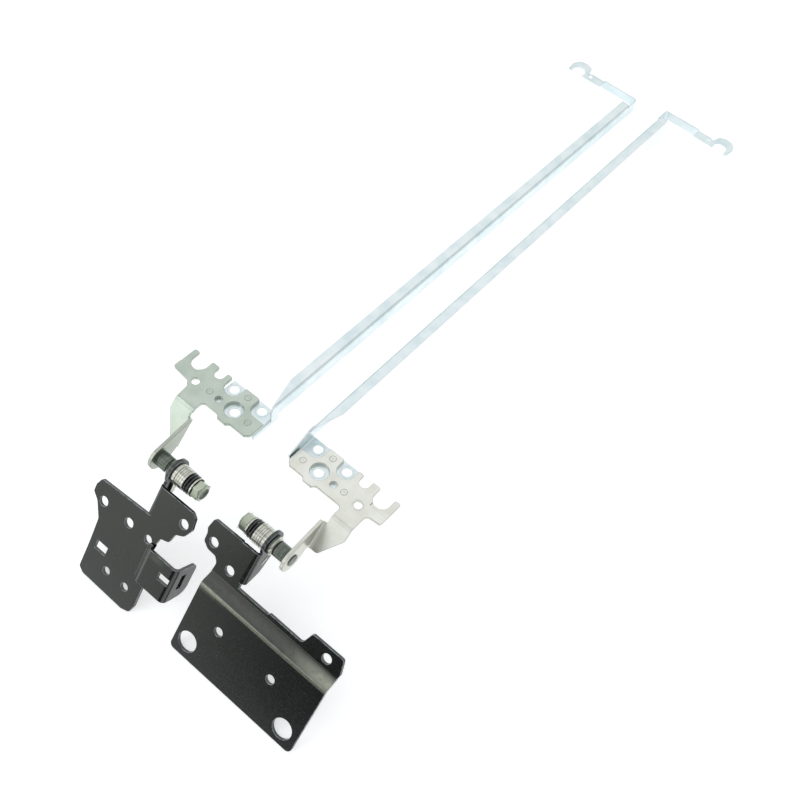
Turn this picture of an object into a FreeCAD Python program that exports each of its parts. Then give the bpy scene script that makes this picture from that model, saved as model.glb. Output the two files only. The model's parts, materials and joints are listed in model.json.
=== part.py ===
import FreeCAD, Part
import math
import os

from FreeCAD import Placement, Rotation, Vector

# Pair of laptop lid hinges, millimetres, +Z up.
# Each hinge has a base bracket on the near side, a friction clutch stacked on one shaft, a lid arm and a
# long folded rail that carries the lid. Every piece is drawn in the frame of its own hinge: X along the
# shaft, Y along the sheet away from the shaft, Z square to the sheet, with the shaft's axis on X. The left
# hinge is drawn with X turned round, so that both shafts' nuts face the middle of the laptop.

SIZES = (
    ("base_sheet", 1.2, "thickness of the base brackets"),
    ("arm_sheet", 1.2, "thickness of the lid arms"),
    ("rail_sheet", 0.6, "thickness of the lid rails"),
    ("fit_gap", 0.05, "radial clearance of the shaft in what turns round it"),
    ("seat_gap", 0.02, "radial clearance of riveted and keyed pieces"),
    ("opening_left", 124.1, "angle between lid arm and base bracket, left, degrees"),
    ("opening_right", 124.85, "angle between lid arm and base bracket, right, degrees"),
    ("pair_pitch", 53.1, "distance between the two hinges' own zero planes"),
    ("pair_stagger", 2.7, "how far the right hinge lies ahead of the left one"),
    # Shaft and clutch, measured from the arm ear's inner face towards the nut
    ("shaft_r", 2.65, "radius of the thick end of the shaft"),
    ("collar_start", 5.6, "distance of the collar from the arm's ear"),
    ("collar_r", 3.4, "radius of the collar that bears on the base ear"),
    ("base_ear_start", 6.5, "distance of the base ear from the arm's ear"),
    ("journal_r", 1.9, "radius of the thin end of the shaft"),
    ("journal_flat", 1.5, "distance of the two keying flats from the axis"),
    ("rivet_r", 2.0, "radius of the riveted shaft end"),
    ("rivet_head", 0.35, "height of the riveted shaft end over the ear"),
    ("washer_r", 3.6, "outer radius of the clutch washers"),
    ("stop_washer_t", 1.5, "thickness of the keyed stop washer"),
    ("friction_washer_t", 1.65, "thickness of each friction washer"),
    ("spring_t", 0.7, "thickness of each conical spring washer"),
    ("spring_h", 1.25, "height of each conical spring washer"),
    ("spring_r", 3.45, "outer radius of the conical spring washers"),
    ("backing_t", 0.8, "thickness of the washer under the nut"),
    ("backing_r", 3.3, "outer radius of the washer under the nut"),
    ("nut_flats", 5.5, "distance across the nut's flats"),
    ("nut_t", 2.6, "thickness of the nut"),
    ("nut_chamfer", 0.5, "length of the chamfer on the nut's outer corners"),
    ("shaft_end", 0.3, "how far the shaft stands out of the nut"),
    ("key_arm", 7.6, "reach of the stop washer's arm"),
    ("key_wide", 2.6, "width of the stop washer's arm"),
    ("key_t", 0.8, "thickness of the stop washer's arm"),
    ("key_slot_long", 2.8, "length of the slot for the stop washer's lug"),
    ("key_slot_wide", 0.9, "width of the slot for the stop washer's lug"),
    ("key_slot_turn", -36.0, "slope of that slot, degrees"),
    ("lug_gap", 0.05, "clearance of the lug in its slot"),
    ("lug_root", 0.4, "how deep the lug starts in the stop washer"),
    ("lug_out", 0.2, "how far the lug stands out of the base ear"),
    # Lid arm
    ("ear_right", 0.8, "inner face of the right arm's ear"),
    ("ear_left", -2.8, "inner face of the left arm's ear"),
    ("ear_r", 4.4, "radius of the arm ear round the shaft"),
    ("plate_level", 7.75, "height of the arm plate's face over the axis"),
    ("plate_near", 20.0, "near edge of the arm plate"),
    ("plate_far", 33.0, "far edge of the arm plate"),
    ("plate_left", 20.3, "inner edge of the left arm's plate"),
    ("plate_right", 19.7, "inner edge of the right arm's plate"),
    ("plate_outer", 15.8, "outer edge of the arm plate"),
    ("prong_tip_r", 0.6, "corner radius of the prongs' tips"),
    ("step_deep", 0.3, "how much lower the face of the outermost prong is"),
    ("neck_right", 3.0, "inner edge of the right arm's neck"),
    ("neck_left", -1.0, "inner edge of the left arm's neck"),
    ("neck_wide", 7.7, "width of the arm's neck"),
    ("neck_bend", 17.5, "where the neck starts to bend down"),
    ("neck_bend_in", 2.2, "inside radius of the neck's bend"),
    ("wing_angle", 48.0, "slope of the wing below the plate, degrees"),
    ("wing_long", 11.6, "length of the wing's flat part"),
    ("wing_straight", 3.0, "length before the wing tapers"),
    ("wing_taper", 5.5, "how much the wing narrows"),
    ("ear_bend_start", 1.6, "distance of the ear's bend from the neck's bend"),
    ("ear_bend_in", 1.0, "inside radius of the bend from wing to ear"),
    ("arm_hole_r", 1.4, "radius of the arm's outer screw hole"),
    ("arm_small_hole_r", 1.2, "radius of the arm's middle hole"),
    ("arm_big_hole_r", 3.1, "radius of the arm's large hole"),
    ("toggle_r", 1.0, "radius of the rivets that join arm and rail"),
    ("toggle_out", 0.2, "how far the rivets stand out of the sheets"),
    # Rail
    ("rail_inner", 20.6, "inner face of the rail's web"),
    ("rail_level", 12.55, "height of the rail's top over the axis"),
    ("rail_high", 5.3, "height of the rail's web"),
    ("rail_bend_in", 0.5, "inside radius of the rail's folds"),
    ("rail_corner_in", 0.8, "inside radius of the rail's far corner"),
    ("flange_wide", 3.9, "width of the rail's top flange"),
    ("rail_start", 22.0, "near end of the rail's tab"),
    ("left_web_start", 30.0, "near end of the left rail's web"),
    ("left_web_high", 4.0, "height of the left web's near end over the tab"),
    ("right_web_high", 1.6, "height of the right web's near end over the tab"),
    ("flange_start", 31.0, "where the top flange starts"),
    ("flange_full", 43.0, "where the top flange has its full width"),
    ("flange_end", 236.3, "where the top flange ends"),
    ("rail_far", 241.6, "outer face of the rail's far end"),
    ("tab_reach", 1.5, "inner edge of the rail's tab"),
    ("web_crest_r", 1.5, "corner radius of the webs' near ends"),
    ("tab_lip_deep", 2.0, "depth of the lip folded down along the left rail's tab"),
    ("tab_far", 33.3, "far edge of the rail's tab"),
    ("tab_hole_r", 1.55, "radius of the tab's screw holes"),
    ("far_wall_high", 3.5, "height of the rail's far wall"),
    ("corner_run", 2.4, "how far the web's full height runs round the far corner"),
    ("hook_start", 4.9, "where the far wall turns into the flat hook"),
    ("hook_fold_end", 1.2, "outer end of the fold between far wall and hook"),
    ("hook_root", 4.9, "width of the hook's root"),
    ("hook_hole_r", 1.0, "radius of the hole in the hook's root"),
    # Base brackets
    ("base_level", 5.2, "height of the base strip's face over the axis"),
    ("base_step", 3.0, "how far the right foot plate and the left tab stand out"),
    ("base_ear_r", 4.6, "radius of the base ear round the shaft"),
    ("base_bend_in", 0.4, "inside radius of the base brackets' bends"),
    ("base_ear_near", 15.0, "lower end of the base ear's bend"),
    ("right_ear_top", 2.9, "upper end of the right base ear's bend"),
    ("left_ear_top", 4.2, "upper end of the left base ear's bend"),
    ("ear_elbow", 3.4, "distance of the base ear's elbow from the bend's lower end"),
    ("ear_elbow_deep", 4.3, "depth of the base ear's elbow under the bend"),
    ("ear_elbow_r", 3.0, "radius of the base ear's elbow"),
    ("screw_r", 1.7, "radius of the base strip's screw holes"),
    ("foot_hole_r", 1.56, "radius of the right foot plate's small holes"),
    ("foot_big_r", 3.5, "radius of the right foot plate's large holes"),
    ("left_low_hole_r", 1.4, "radius of the left bracket's low holes"),
    ("right_fold", 18.2, "where the right bracket steps up to its foot plate"),
    ("right_fold_run", 0.6, "how far the step runs while it rises"),
    ("right_inner", 17.5, "inner edge of the right foot plate"),
    ("right_outer", 33.8, "outer edge of the right foot plate"),
    ("right_foot_low", 48.4, "lower edge of the right foot plate"),
    ("foot_corner_r", 1.8, "corner radius of the right foot plate"),
    ("left_foot_low", 50.4, "lower edge of the left bracket"),
    ("tab_edge", 14.6, "where the left bracket's tab steps up"),
    ("tab_top", 22.6, "upper edge of the left bracket's tab"),
    ("tab_low", 35.6, "lower edge of the left bracket's tab"),
    ("tab_slope", 0.85, "run of the tab's step for each unit that it rises"),
    ("lip_outer", 29.3, "outer face of the left bracket's folded lip"),
    ("lip_bend_in", 2.6, "inside radius of the lip's bend"),
    ("lip_deep", 10.4, "how deep the lip reaches"),
)

doc = FreeCAD.newDocument("laptop_hinge_pair")
sheet = doc.addObject("Spreadsheet::Sheet", "Sizes")
for row, (alias, value, meaning) in enumerate(SIZES, start=1):
    sheet.set(f"A{row}", meaning)
    sheet.set(f"B{row}", str(value))
    sheet.setAlias(f"B{row}", alias)
doc.recompute()


def size(alias):
    """The sheet's value of one size."""
    return float(sheet.get(alias))


def total(names):
    """Sum of some sizes; one with a minus sign before its name counts against it."""
    return sum(-size(name[1:]) if name.startswith("-") else size(name) for name in names)


def expression(names, extra=0.0):
    """The same sum, and something more, as an expression on the sheet."""
    terms = [f"- Sizes.{name[1:]}" if name.startswith("-") else f"+ Sizes.{name}" for name in names]
    return " ".join(terms).removeprefix("+ ") + (f" + {extra}" if extra else "")


# Sketch geometry


def corner_arc(before, corner, after, radius):
    """Tangent points, middle and centre of the arc that rounds one corner."""
    a = (before - corner).normalize()
    b = (after - corner).normalize()
    half = a.getAngle(b) / 2
    if radius <= 0 or half > math.radians(89.5):
        return None
    room = 0.49 * min((before - corner).Length, (after - corner).Length)
    reach = min(radius / math.tan(half), room)
    radius = reach * math.tan(half)
    centre = corner + (a + b).normalize() * (radius / math.sin(half))
    middle = centre + (corner - centre).normalize() * radius
    return corner + a * reach, middle, corner + b * reach


def rounded(points):
    """Closed outline of straight edges and corner arcs from (x, y, corner radius) points."""
    corners = [Vector(p[0], p[1], 0) for p in points]
    radii = [p[2] if len(p) > 2 else 0 for p in points]
    count = len(corners)
    arcs = [corner_arc(corners[i - 1], corners[i], corners[(i + 1) % count], radii[i]) for i in range(count)]
    edges = []
    for i in range(count):
        j = (i + 1) % count
        start = arcs[i][2] if arcs[i] else corners[i]
        end = arcs[j][0] if arcs[j] else corners[j]
        if (end - start).Length > 1e-6:
            edges.append(Part.LineSegment(start, end))
        if arcs[j]:
            edges.append(Part.Arc(*arcs[j]))
    return edges


def circle(x, y, radius):
    """Circle of a hole or a disc."""
    return Part.Circle(Vector(x, y, 0), Vector(0, 0, 1), radius)


def bent_sheet(line, thickness, *insides):
    """Closed outline of a folded sheet: a line and the same line one thickness to its left.

    One inside radius serves every fold, or each fold has its own.
    """
    points = [Vector(x, y, 0) for x, y in line]
    radii = insides * (len(points) - 2) if len(insides) == 1 else insides
    runs = [(b - a).normalize() for a, b in zip(points, points[1:])]
    near, far = [], []
    for i, point in enumerate(points):
        before = runs[max(i - 1, 0)]
        after = runs[min(i, len(runs) - 1)]
        turn = before.x * after.y - before.y * after.x
        normal = Vector(-before.y - after.y, before.x + after.x, 0).normalize()
        shift = thickness / math.cos(before.getAngle(after) / 2)
        folded = 0 < i < len(points) - 1
        inside = radii[i - 1] if folded else 0
        near_radius = (inside + thickness if turn > 0 else inside) if folded else 0
        far_radius = (inside if turn > 0 else inside + thickness) if folded else 0
        near.append((point.x, point.y, near_radius))
        far.append((point.x + normal.x * shift, point.y + normal.y * shift, far_radius))
    return rounded(near + far[::-1])


def mirrored(edges, side):
    """The same geometry with X turned round for the left hinge."""
    if side > 0:
        return edges
    flip = FreeCAD.Matrix()
    flip.A11 = -1
    turned = []
    for edge in edges:
        if isinstance(edge, Part.Circle):
            turned.append(circle(-edge.Center.x, edge.Center.y, edge.Radius))
            continue
        ends = [flip.multVec(edge.value(edge.FirstParameter)), flip.multVec(edge.value(edge.LastParameter))]
        if isinstance(edge, Part.LineSegment):
            turned.append(Part.LineSegment(ends[0], ends[1]))
        else:
            middle = flip.multVec(edge.value((edge.FirstParameter + edge.LastParameter) / 2))
            turned.append(Part.Arc(ends[0], middle, ends[1]))
    return turned


# Bodies and their features

PLANES = {"plan": "XY_Plane", "front": "XZ_Plane", "side": "YZ_Plane"}
OVERRUN = 0.5  # how far a cut reaches past the sheet, on both sides
LAP = 1.0  # how far one feature of a sheet runs into the next


class Piece:
    """One sub-part: a body with sketches on its own planes and features that add or cut."""

    def __init__(self, name, side):
        self.body = doc.addObject("PartDesign::Body", name)
        self.body.Label = name
        self.side = side
        self.count = 0

    def sketch(self, plane, edges, offset, turn=None):
        """Sketch on one of the body's planes; offset is along the plane's normal, or a placement."""
        self.count += 1
        sketch = self.body.newObject("Sketcher::SketchObject", f"{self.body.Name}_outline_{self.count}")
        role = PLANES[plane]
        support = next(f for f in self.body.Origin.OriginFeatures if f.Role == role)
        sketch.AttachmentSupport = [(support, "")]
        sketch.MapMode = "FlatFace"
        sketch.AttachmentOffset = Placement(offset, turn or Rotation())
        sketch.addGeometry(edges if plane == "side" else mirrored(edges, self.side), False)
        return sketch

    def feature(self, kind, sketch, length, middle=False, away=False):
        """Pad or pocket of a sketch; length is an expression on the sheet."""
        self.count += 1
        feature = self.body.newObject(f"PartDesign::{kind}", f"{self.body.Name}_{kind.lower()}_{self.count}")
        feature.Profile = sketch
        feature.setExpression("Length", length)
        if middle:
            feature.Midplane = True
        feature.Reversed = away
        sketch.Visibility = False
        doc.recompute()
        return feature

    def plate(self, edges, top, *lengths, cut=False):
        """Flat sheet with its face at a height and as thick as the named sizes, or a cut through it."""
        sketch = self.sketch("plan", edges, Vector(0, 0, top + (OVERRUN if cut else 0)))
        kind = "Pocket" if cut else "Pad"
        return self.feature(kind, sketch, expression(lengths, 2 * OVERRUN if cut else 0), away=not cut)

    def across(self, edges, low, *lengths, cut=False):
        """Profile in the side view, run along the shaft from a place, as far as the named sizes."""
        middle = self.side * (low + total(lengths) / 2)
        sketch = self.sketch("side", edges, Vector(0, 0, middle))
        kind = "Pocket" if cut else "Pad"
        return self.feature(kind, sketch, expression(lengths, 2 * OVERRUN if cut else 0), middle=True)

    def along(self, edges, low, *lengths):
        """Profile in the front view, run away from the shaft from a place, as far as the named sizes."""
        sketch = self.sketch("front", edges, Vector(0, 0, -(low + total(lengths) / 2)))
        return self.feature("Pad", sketch, expression(lengths), middle=True)

    def turned(self, points):
        """Solid turned round the shaft's axis from (distance, radius) points."""
        sketch = self.sketch("plan", rounded(points), Vector())
        self.count += 1
        turn = self.body.newObject("PartDesign::Revolution", f"{self.body.Name}_turned_{self.count}")
        turn.Profile = sketch
        turn.ReferenceAxis = (sketch, ["H_Axis"])
        turn.Angle = 360
        sketch.Visibility = False
        doc.recompute()
        return turn


# Where each hinge stands: both the rail's far end and the base bracket's lower edge rest on the table


class Hinge:
    """Stance of one hinge and the sizes that differ between left and right."""

    def __init__(self, name, side):
        self.name = name
        self.side = side
        self.ear = size(f"ear_{name}")
        self.neck = size(f"neck_{name}")
        self.plate_edge = -size(f"plate_{name}")
        self.fold = 180 - size(f"opening_{name}")
        foot = -size("right_foot_low" if side > 0 else "left_foot_low")
        foot_back = size("base_level") - size("base_sheet") + (size("base_step") if side > 0 else 0)
        tail = size("rail_far")
        tail_low = size("rail_level") - size("rail_high")
        c = math.cos(math.radians(self.fold))
        n = math.sin(math.radians(self.fold))
        run = foot * c - foot_back * n - tail
        rise = foot * n + foot_back * c - tail_low
        self.pitch = math.degrees(math.atan(-rise / run))
        slope = math.radians(self.pitch)
        height = -(tail * math.sin(slope) + tail_low * math.cos(slope))
        across = side * size("pair_pitch") / 2
        ahead = side * size("pair_stagger") / 2
        self.axis = Vector(across, ahead, height)

    def lid_place(self):
        """Placement of what turns with the lid, at rest."""
        return Placement(self.axis, Rotation(Vector(1, 0, 0), self.pitch))

    def base_place(self):
        """Placement of what stays with the base."""
        return Placement(self.axis, Rotation(Vector(1, 0, 0), self.pitch + self.fold))

    def stack(self, distance):
        """Place along the shaft at a distance from the arm ear's inner face."""
        return self.ear - distance

    def piece(self, name):
        """New sub-part of this hinge."""
        return Piece(f"{self.name}_{name}", self.side)


def tangent(point, radius, upper):
    """Point where the line from a point touches the circle round the axis."""
    distance = math.hypot(*point)
    base = math.atan2(point[1], point[0])
    swing = math.acos(radius / distance)
    angle = base + (swing if upper else -swing)
    return radius * math.cos(angle), radius * math.sin(angle)


def ear_outline(first, second, radius, upper_first=True):
    """Ear: a disc round the axis that widens to the line between two points."""
    start = tangent(first, radius, upper_first)
    end = tangent(second, radius, not upper_first)
    a0 = math.atan2(start[1], start[0])
    a1 = math.atan2(end[1], end[0])
    step = (a1 - a0) % (2 * math.pi) if upper_first else -((a0 - a1) % (2 * math.pi))
    middle = (radius * math.cos(a0 + step / 2), radius * math.sin(a0 + step / 2))
    return [
        Part.LineSegment(Vector(*first, 0), Vector(*start, 0)),
        Part.Arc(Vector(*start, 0), Vector(*middle, 0), Vector(*end, 0)),
        Part.LineSegment(Vector(*end, 0), Vector(*second, 0)),
        Part.LineSegment(Vector(*second, 0), Vector(*first, 0)),
    ]


# Holes, rivets and screws of the arm plate and the rail's tab

TOGGLES = ((0.4, 24.2), (-9.9, 30.7), (-16.3, 24.0))
ARM_HOLES = (
    ((6.4, 23.9), "arm_hole_r"), ((-3.7, 24.0), "arm_small_hole_r"), ((-9.9, 24.5), "arm_big_hole_r"),
)

# Open slots in the arm plate's far edge: outer side, inner side, depth and corner radius at the root
ARM_SLOTS = ((13.6, 7.8, 5.7, 2.9), (4.7, 1.1, 3.7, 1.75), (-1.0, -7.0, 5.6, 3.0))
ARM_CORNER = (-12.9, 6.1, 3.4)  # inner side of the last prong, depth and radius of the cut beside it
ARM_STEP = (9.0, 6.6)  # where the outermost prong's lower face starts, across and from the far edge
TAB_HOLES = ((-10.2, 24.6), (-4.0, 30.7), (-16.0, 30.7))


def slotted_edge(far, inner):
    """The arm plate's far edge, from the outside in, with a prong on each side of every slot."""
    tip = size("prong_tip_r")
    points = []
    for start, end, deep, root in ARM_SLOTS:
        points += [(start, far, tip), (start, far - deep, root), (end, far - deep, root), (end, far, tip)]
    side, deep, root = ARM_CORNER
    return points + [(side, far, tip), (side, far - deep, root), (inner, far - deep)]


def arm(hinge):
    """Lid arm: slotted plate, neck bent down to a tapered wing, and an ear folded off the wing."""
    piece = hinge.piece("lid_arm")
    top, sheet_t = size("plate_level"), size("arm_sheet")
    far, near = size("plate_far"), size("plate_near")
    inner, outer = hinge.plate_edge, size("plate_outer")
    neck, wide = hinge.neck, size("neck_wide")
    bend = size("neck_bend")
    outline = rounded([
        (neck, bend), (neck + wide, bend), (neck + wide, near + 2.9, 1.6), (outer, near + 3.3, 0.8),
        (outer, far, 0.7), *slotted_edge(far, inner), (inner, near + 1.2, 1.4), (inner + 1.6, near - 0.2),
        (-12.6, near - 0.2), (-11.6, near - 1.2), (-8.3, near - 1.2), (-7.2, near), (neck, near, 1.5),
    ])
    piece.plate(outline, top, "arm_sheet")
    holes = [circle(x, y, size(radius)) for (x, y), radius in ARM_HOLES]
    holes += [circle(x, y, size("toggle_r") + size("seat_gap")) for x, y in TOGGLES]
    piece.plate(holes, top, "arm_sheet", cut=True)
    step_x, step_back = ARM_STEP
    past = (outer + OVERRUN, far + OVERRUN)
    step = rounded([(step_x, far - step_back), (past[0], far - step_back), past, (step_x, past[1])])
    sketch = piece.sketch("plan", step, Vector(0, 0, top))
    piece.feature("Pocket", sketch, "Sizes.step_deep")

    # Neck bend, from the plate down to the wing
    angle = math.radians(size("wing_angle"))
    down = (-math.cos(angle), -math.sin(angle))
    out = (-math.sin(angle), math.cos(angle))
    outside = size("neck_bend_in") + sheet_t
    centre = (bend, top - outside)
    root = (centre[0] + outside * out[0], centre[1] + outside * out[1])
    half = angle / 2
    inside = size("neck_bend_in")
    upper, lower = Vector(bend, top, 0), Vector(bend, top - sheet_t, 0)
    across, end = 90 + math.degrees(half), 90 + math.degrees(angle)
    inner_end = arc_point(centre, inside, end)
    ring = [
        Part.Arc(upper, arc_point(centre, outside, across), Vector(*root, 0)),
        Part.LineSegment(Vector(*root, 0), inner_end),
        Part.Arc(inner_end, arc_point(centre, inside, across), lower),
        Part.LineSegment(lower, upper),
    ]
    piece.across(ring, neck, "neck_wide")

    # Wing, drawn in its own sloping plane, its length running down
    ear_out = hinge.ear + sheet_t
    fold = size("ear_bend_in")
    wing_inner = ear_out + fold
    long, straight = size("wing_long"), size("wing_straight")
    wing = rounded([
        (wing_inner, 0), (neck + wide, 0), (neck + wide, -straight, 1.5),
        (neck + wide - size("wing_taper"), -long, 1.2), (wing_inner, -long),
    ])
    sketch = piece.sketch("plan", wing, Vector(0, *root), Rotation(Vector(1, 0, 0), size("wing_angle")))
    piece.feature("Pad", sketch, "Sizes.arm_sheet", away=True)

    # Ear: quarter bend off the wing's inner edge, then the plate round the shaft
    first = size("ear_bend_start")
    quarter = quarter_bend((wing_inner, -fold), fold, sheet_t, -1)
    start = (root[0] + down[0] * first, root[1] + down[1] * first)
    turn = Rotation(Vector(1, 0, 0), size("wing_angle") - 90)
    sketch = piece.sketch("plan", quarter, Vector(0, *start), turn)
    piece.feature("Pad", sketch, expression(["wing_long", "-ear_bend_start"]), away=True)
    upper = (start[0] + out[0] * fold, start[1] + out[1] * fold)
    lower = (root[0] + down[0] * long + out[0] * fold, root[1] + down[1] * long + out[1] * fold)
    piece.across(ear_outline(upper, lower, size("ear_r")), hinge.ear, "arm_sheet")
    piece.across([circle(0, 0, size("rivet_r") + size("seat_gap"))], hinge.ear, "arm_sheet", cut=True)
    return piece


def arc_point(centre, radius, degrees):
    """Point on a circle."""
    angle = math.radians(degrees)
    return Vector(centre[0] + radius * math.cos(angle), centre[1] + radius * math.sin(angle), 0)


def quarter_bend(centre, inside, thickness, side):
    """Section of a sheet bent through a quarter turn from its top round to one side."""
    middle, end = 90 - 45 * side, 90 - 90 * side
    faces = []
    for radius in (inside + thickness, inside):
        faces.append([arc_point(centre, radius, degrees) for degrees in (90, middle, end)])
    outer, inner = faces
    return [
        Part.Arc(*outer), Part.LineSegment(outer[2], inner[2]),
        Part.Arc(*inner[::-1]), Part.LineSegment(inner[0], outer[0]),
    ]


# Flat hook at the rail's far end, from its root round the crook and back: across, from the far wall's
# outer face, and corner radius
HOOK = (
    (3.2, 2.0, 1.6), (6.0, 3.3, 2.2), (9.4, 2.6, 2.2), (11.0, -0.6, 2.0), (10.5, -5.0, 0.5),
    (8.9, -5.3, 0.4), (9.0, -2.2, 1.4), (7.4, -0.7, 1.6), (5.0, -0.8, 1.4), (3.8, -2.4, 1.0),
    (3.9, -5.0, 0.5), (1.8, -5.0, 0.6),
)
HOOK_HOLE = (0.8, -2.6)


def rail(hinge):
    """Lid rail: tab under the arm, web with a top flange, far wall across and a flat hook."""
    piece = hinge.piece("lid_rail")
    thin = size("rail_sheet")
    web = -size("rail_inner")
    top = size("rail_level")
    low = top - size("rail_high")
    tab_top = size("plate_level") - size("arm_sheet")
    tab_low = tab_top - thin
    near, far = size("rail_start"), size("rail_far")
    tight = size("rail_bend_in")

    # Tab under the arm's plate: on the left with its edge folded down and the web begun behind the arm, on
    # the right folded off the web, whose top slopes up from the tab's near end
    begin, flange, tab_far = size("left_web_start"), size("flange_start"), size("tab_far")
    tab_end, crest = -size("tab_reach"), size("web_crest_r")
    if hinge.side > 0:
        tab = bent_sheet([(web, top), (web, tab_low), (tab_end, tab_low)], thin, tight)
        piece.along(tab, near, "tab_far", "-rail_start")
        over = [(near - OVERRUN, top + OVERRUN), (flange, top + OVERRUN)]
        slope = rounded([(near - OVERRUN, tab_top + size("right_web_high")), *over, (flange, top, crest)])
        piece.across(slope, web, "rail_sheet", cut=True)
    else:
        lip_low = tab_top - size("tab_lip_deep")
        tab = bent_sheet([(tab_end, tab_top), (web, tab_top), (web, lip_low)], thin, tight)
        piece.along(tab, near, "tab_far", "-rail_start")
        web_near = rounded([
            (begin, tab_low), (begin, tab_top + size("left_web_high"), crest), (flange, top, crest),
            (flange + LAP, top), (flange + LAP, low), (tab_far, low), (tab_far, tab_low),
        ])
        piece.across(web_near, web, "rail_sheet")
    holes = [circle(x, y, size("tab_hole_r")) for x, y in TAB_HOLES]
    holes += [circle(x, y, size("toggle_r") + size("seat_gap")) for x, y in TOGGLES]
    piece.plate(holes, tab_top, "rail_sheet", cut=True)

    # Channel of web and flange, with the flange tapering off towards the arm
    full = size("flange_full")
    edge = web + size("flange_wide")
    channel = bent_sheet([(edge, top), (web, top), (web, low)], thin, tight)
    piece.along(channel, flange, "flange_end", "-flange_start")
    past, before = edge + OVERRUN, flange - OVERRUN
    taper = rounded([(web + thin, before), (past, before), (past, full), (edge, full)])
    piece.plate(taper, top, "rail_sheet", cut=True)

    # Far corner and far wall, up to where the hook is folded off it
    hook = -size("hook_start")
    corner_line = [(hook, far), (web, far), (web, size("flange_end") - LAP)]
    piece.plate(bent_sheet(corner_line, thin, size("rail_corner_in")), top, "rail_high")
    wall_low = top - size("far_wall_high")
    inner, outer = far - thin - OVERRUN, far + OVERRUN
    under = rounded([(inner, low - OVERRUN), (outer, low - OVERRUN), (outer, wall_low), (inner, wall_low)])
    piece.across(under, web + size("corner_run"), "rail_inner", "-corner_run", "-hook_start", cut=True)

    # Hook: the far wall's end folded flat, then an open hook in that plane
    root, fold_end = far - size("hook_root"), size("hook_fold_end")
    wall = bent_sheet([(far, wall_low), (far, top), (root, top)], thin, tight)
    piece.across(wall, hook, "hook_start", "hook_fold_end")
    outline = [(hook, far - 2 * thin), (2 * fold_end, far - 2 * thin, 0.8)]
    outline += [(x, far + y, corner_r) for x, y, corner_r in HOOK]
    piece.plate(rounded(outline + [(fold_end, root), (hook, root)]), top, "rail_sheet")
    hole_x, hole_y = HOOK_HOLE
    piece.plate([circle(hole_x, far + hole_y, size("hook_hole_r"))], top, "rail_sheet", cut=True)
    return piece


def toggle(hinge, number, x, y):
    """Rivet through the arm's plate and the rail's tab."""
    rivet = doc.addObject("Part::Cylinder", f"{hinge.name}_rail_rivet_{number}")
    rivet.Label = rivet.Name
    rivet.setExpression("Radius", "Sizes.toggle_r")
    rivet.setExpression("Height", "Sizes.arm_sheet + Sizes.rail_sheet + 2 * Sizes.toggle_out")
    low = total(["plate_level", "-arm_sheet", "-rail_sheet", "-toggle_out"])
    rivet.Placement = Placement(Vector(hinge.side * x, y, low), Rotation())
    return rivet


def shaft(hinge):
    """Shaft: riveted end, thick end, collar and a long thin end with two keying flats."""
    piece = hinge.piece("pivot_shaft")
    at = hinge.stack
    ear_out = -size("arm_sheet")
    collar, ear = size("collar_start"), size("base_ear_start")
    end = clutch_places()["end"]
    thick, thin, rivet = size("shaft_r"), size("journal_r"), size("rivet_r")
    head = ear_out - size("rivet_head")
    collar_r = size("collar_r")
    points = [(head, 0), (head, rivet), (0, rivet), (0, thick), (collar, thick), (collar, collar_r),
              (ear, collar_r), (ear, thin), (end, thin), (end, 0)]
    piece.turned([(at(distance), radius) for distance, radius in points])
    flat, clear = size("journal_flat"), thin + 1
    for sign in (1, -1):
        near, past = sign * flat, sign * clear
        slab = rounded([(-clear, near), (clear, near), (clear, past), (-clear, past)])
        piece.across(slab, at(end), *KEYED_STACK, cut=True)
    return piece


# What sits on the shaft's flats, from the stop washer to the shaft's end
KEYED_STACK = (
    "friction_washer_t", "friction_washer_t", "spring_h", "spring_h", "backing_t", "nut_t", "shaft_end",
)


def clutch_places():
    """Distances of the clutch's faces from the arm ear's inner face."""
    places = {"base_ear": size("base_ear_start")}
    places["stop_washer"] = places["base_ear"] + size("base_sheet")
    places["friction_1"] = places["stop_washer"] + size("stop_washer_t")
    places["friction_2"] = places["friction_1"] + size("friction_washer_t")
    places["spring_1"] = places["friction_2"] + size("friction_washer_t")
    places["spring_2"] = places["spring_1"] + size("spring_h")
    places["backing"] = places["spring_2"] + size("spring_h")
    places["nut"] = places["backing"] + size("backing_t")
    places["nut_end"] = places["nut"] + size("nut_t")
    places["end"] = places["nut_end"] + size("shaft_end")
    return places


def keyed_hole(gap):
    """Hole with two flats, as on the shaft's thin end."""
    radius, flat = size("journal_r") + gap, size("journal_flat") + gap
    reach = math.sqrt(radius ** 2 - flat ** 2)
    corners = [Vector(x, y, 0) for x, y in ((reach, flat), (-reach, flat), (-reach, -flat), (reach, -flat))]
    return [
        Part.LineSegment(corners[0], corners[1]), Part.Arc(corners[1], Vector(-radius, 0, 0), corners[2]),
        Part.LineSegment(corners[2], corners[3]), Part.Arc(corners[3], Vector(radius, 0, 0), corners[0]),
    ]


def friction_washer(hinge, number):
    """Flat washer keyed to the shaft."""
    piece = hinge.piece(f"friction_washer_{number}")
    start = clutch_places()[f"friction_{number}"]
    edges = [circle(0, 0, size("washer_r"))] + keyed_hole(size("seat_gap"))
    piece.across(edges, hinge.stack(start + size("friction_washer_t")), "friction_washer_t")
    return piece


def spring_washer(hinge, number):
    """Conical spring washer; the two stand mouth to mouth."""
    piece = hinge.piece(f"spring_washer_{number}")
    start = clutch_places()[f"spring_{number}"]
    end = start + size("spring_h")
    inner, outer, thick = size("journal_r") + size("fit_gap"), size("spring_r"), size("spring_t")
    cone = [(0, inner), (thick, inner), (size("spring_h"), outer), (size("spring_h") - thick, outer)]
    if number == 1:
        points = [(start + depth, radius) for depth, radius in cone]
    else:
        points = [(end - depth, radius) for depth, radius in cone]
    piece.turned([(hinge.stack(distance), radius) for distance, radius in points])
    return piece


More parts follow.
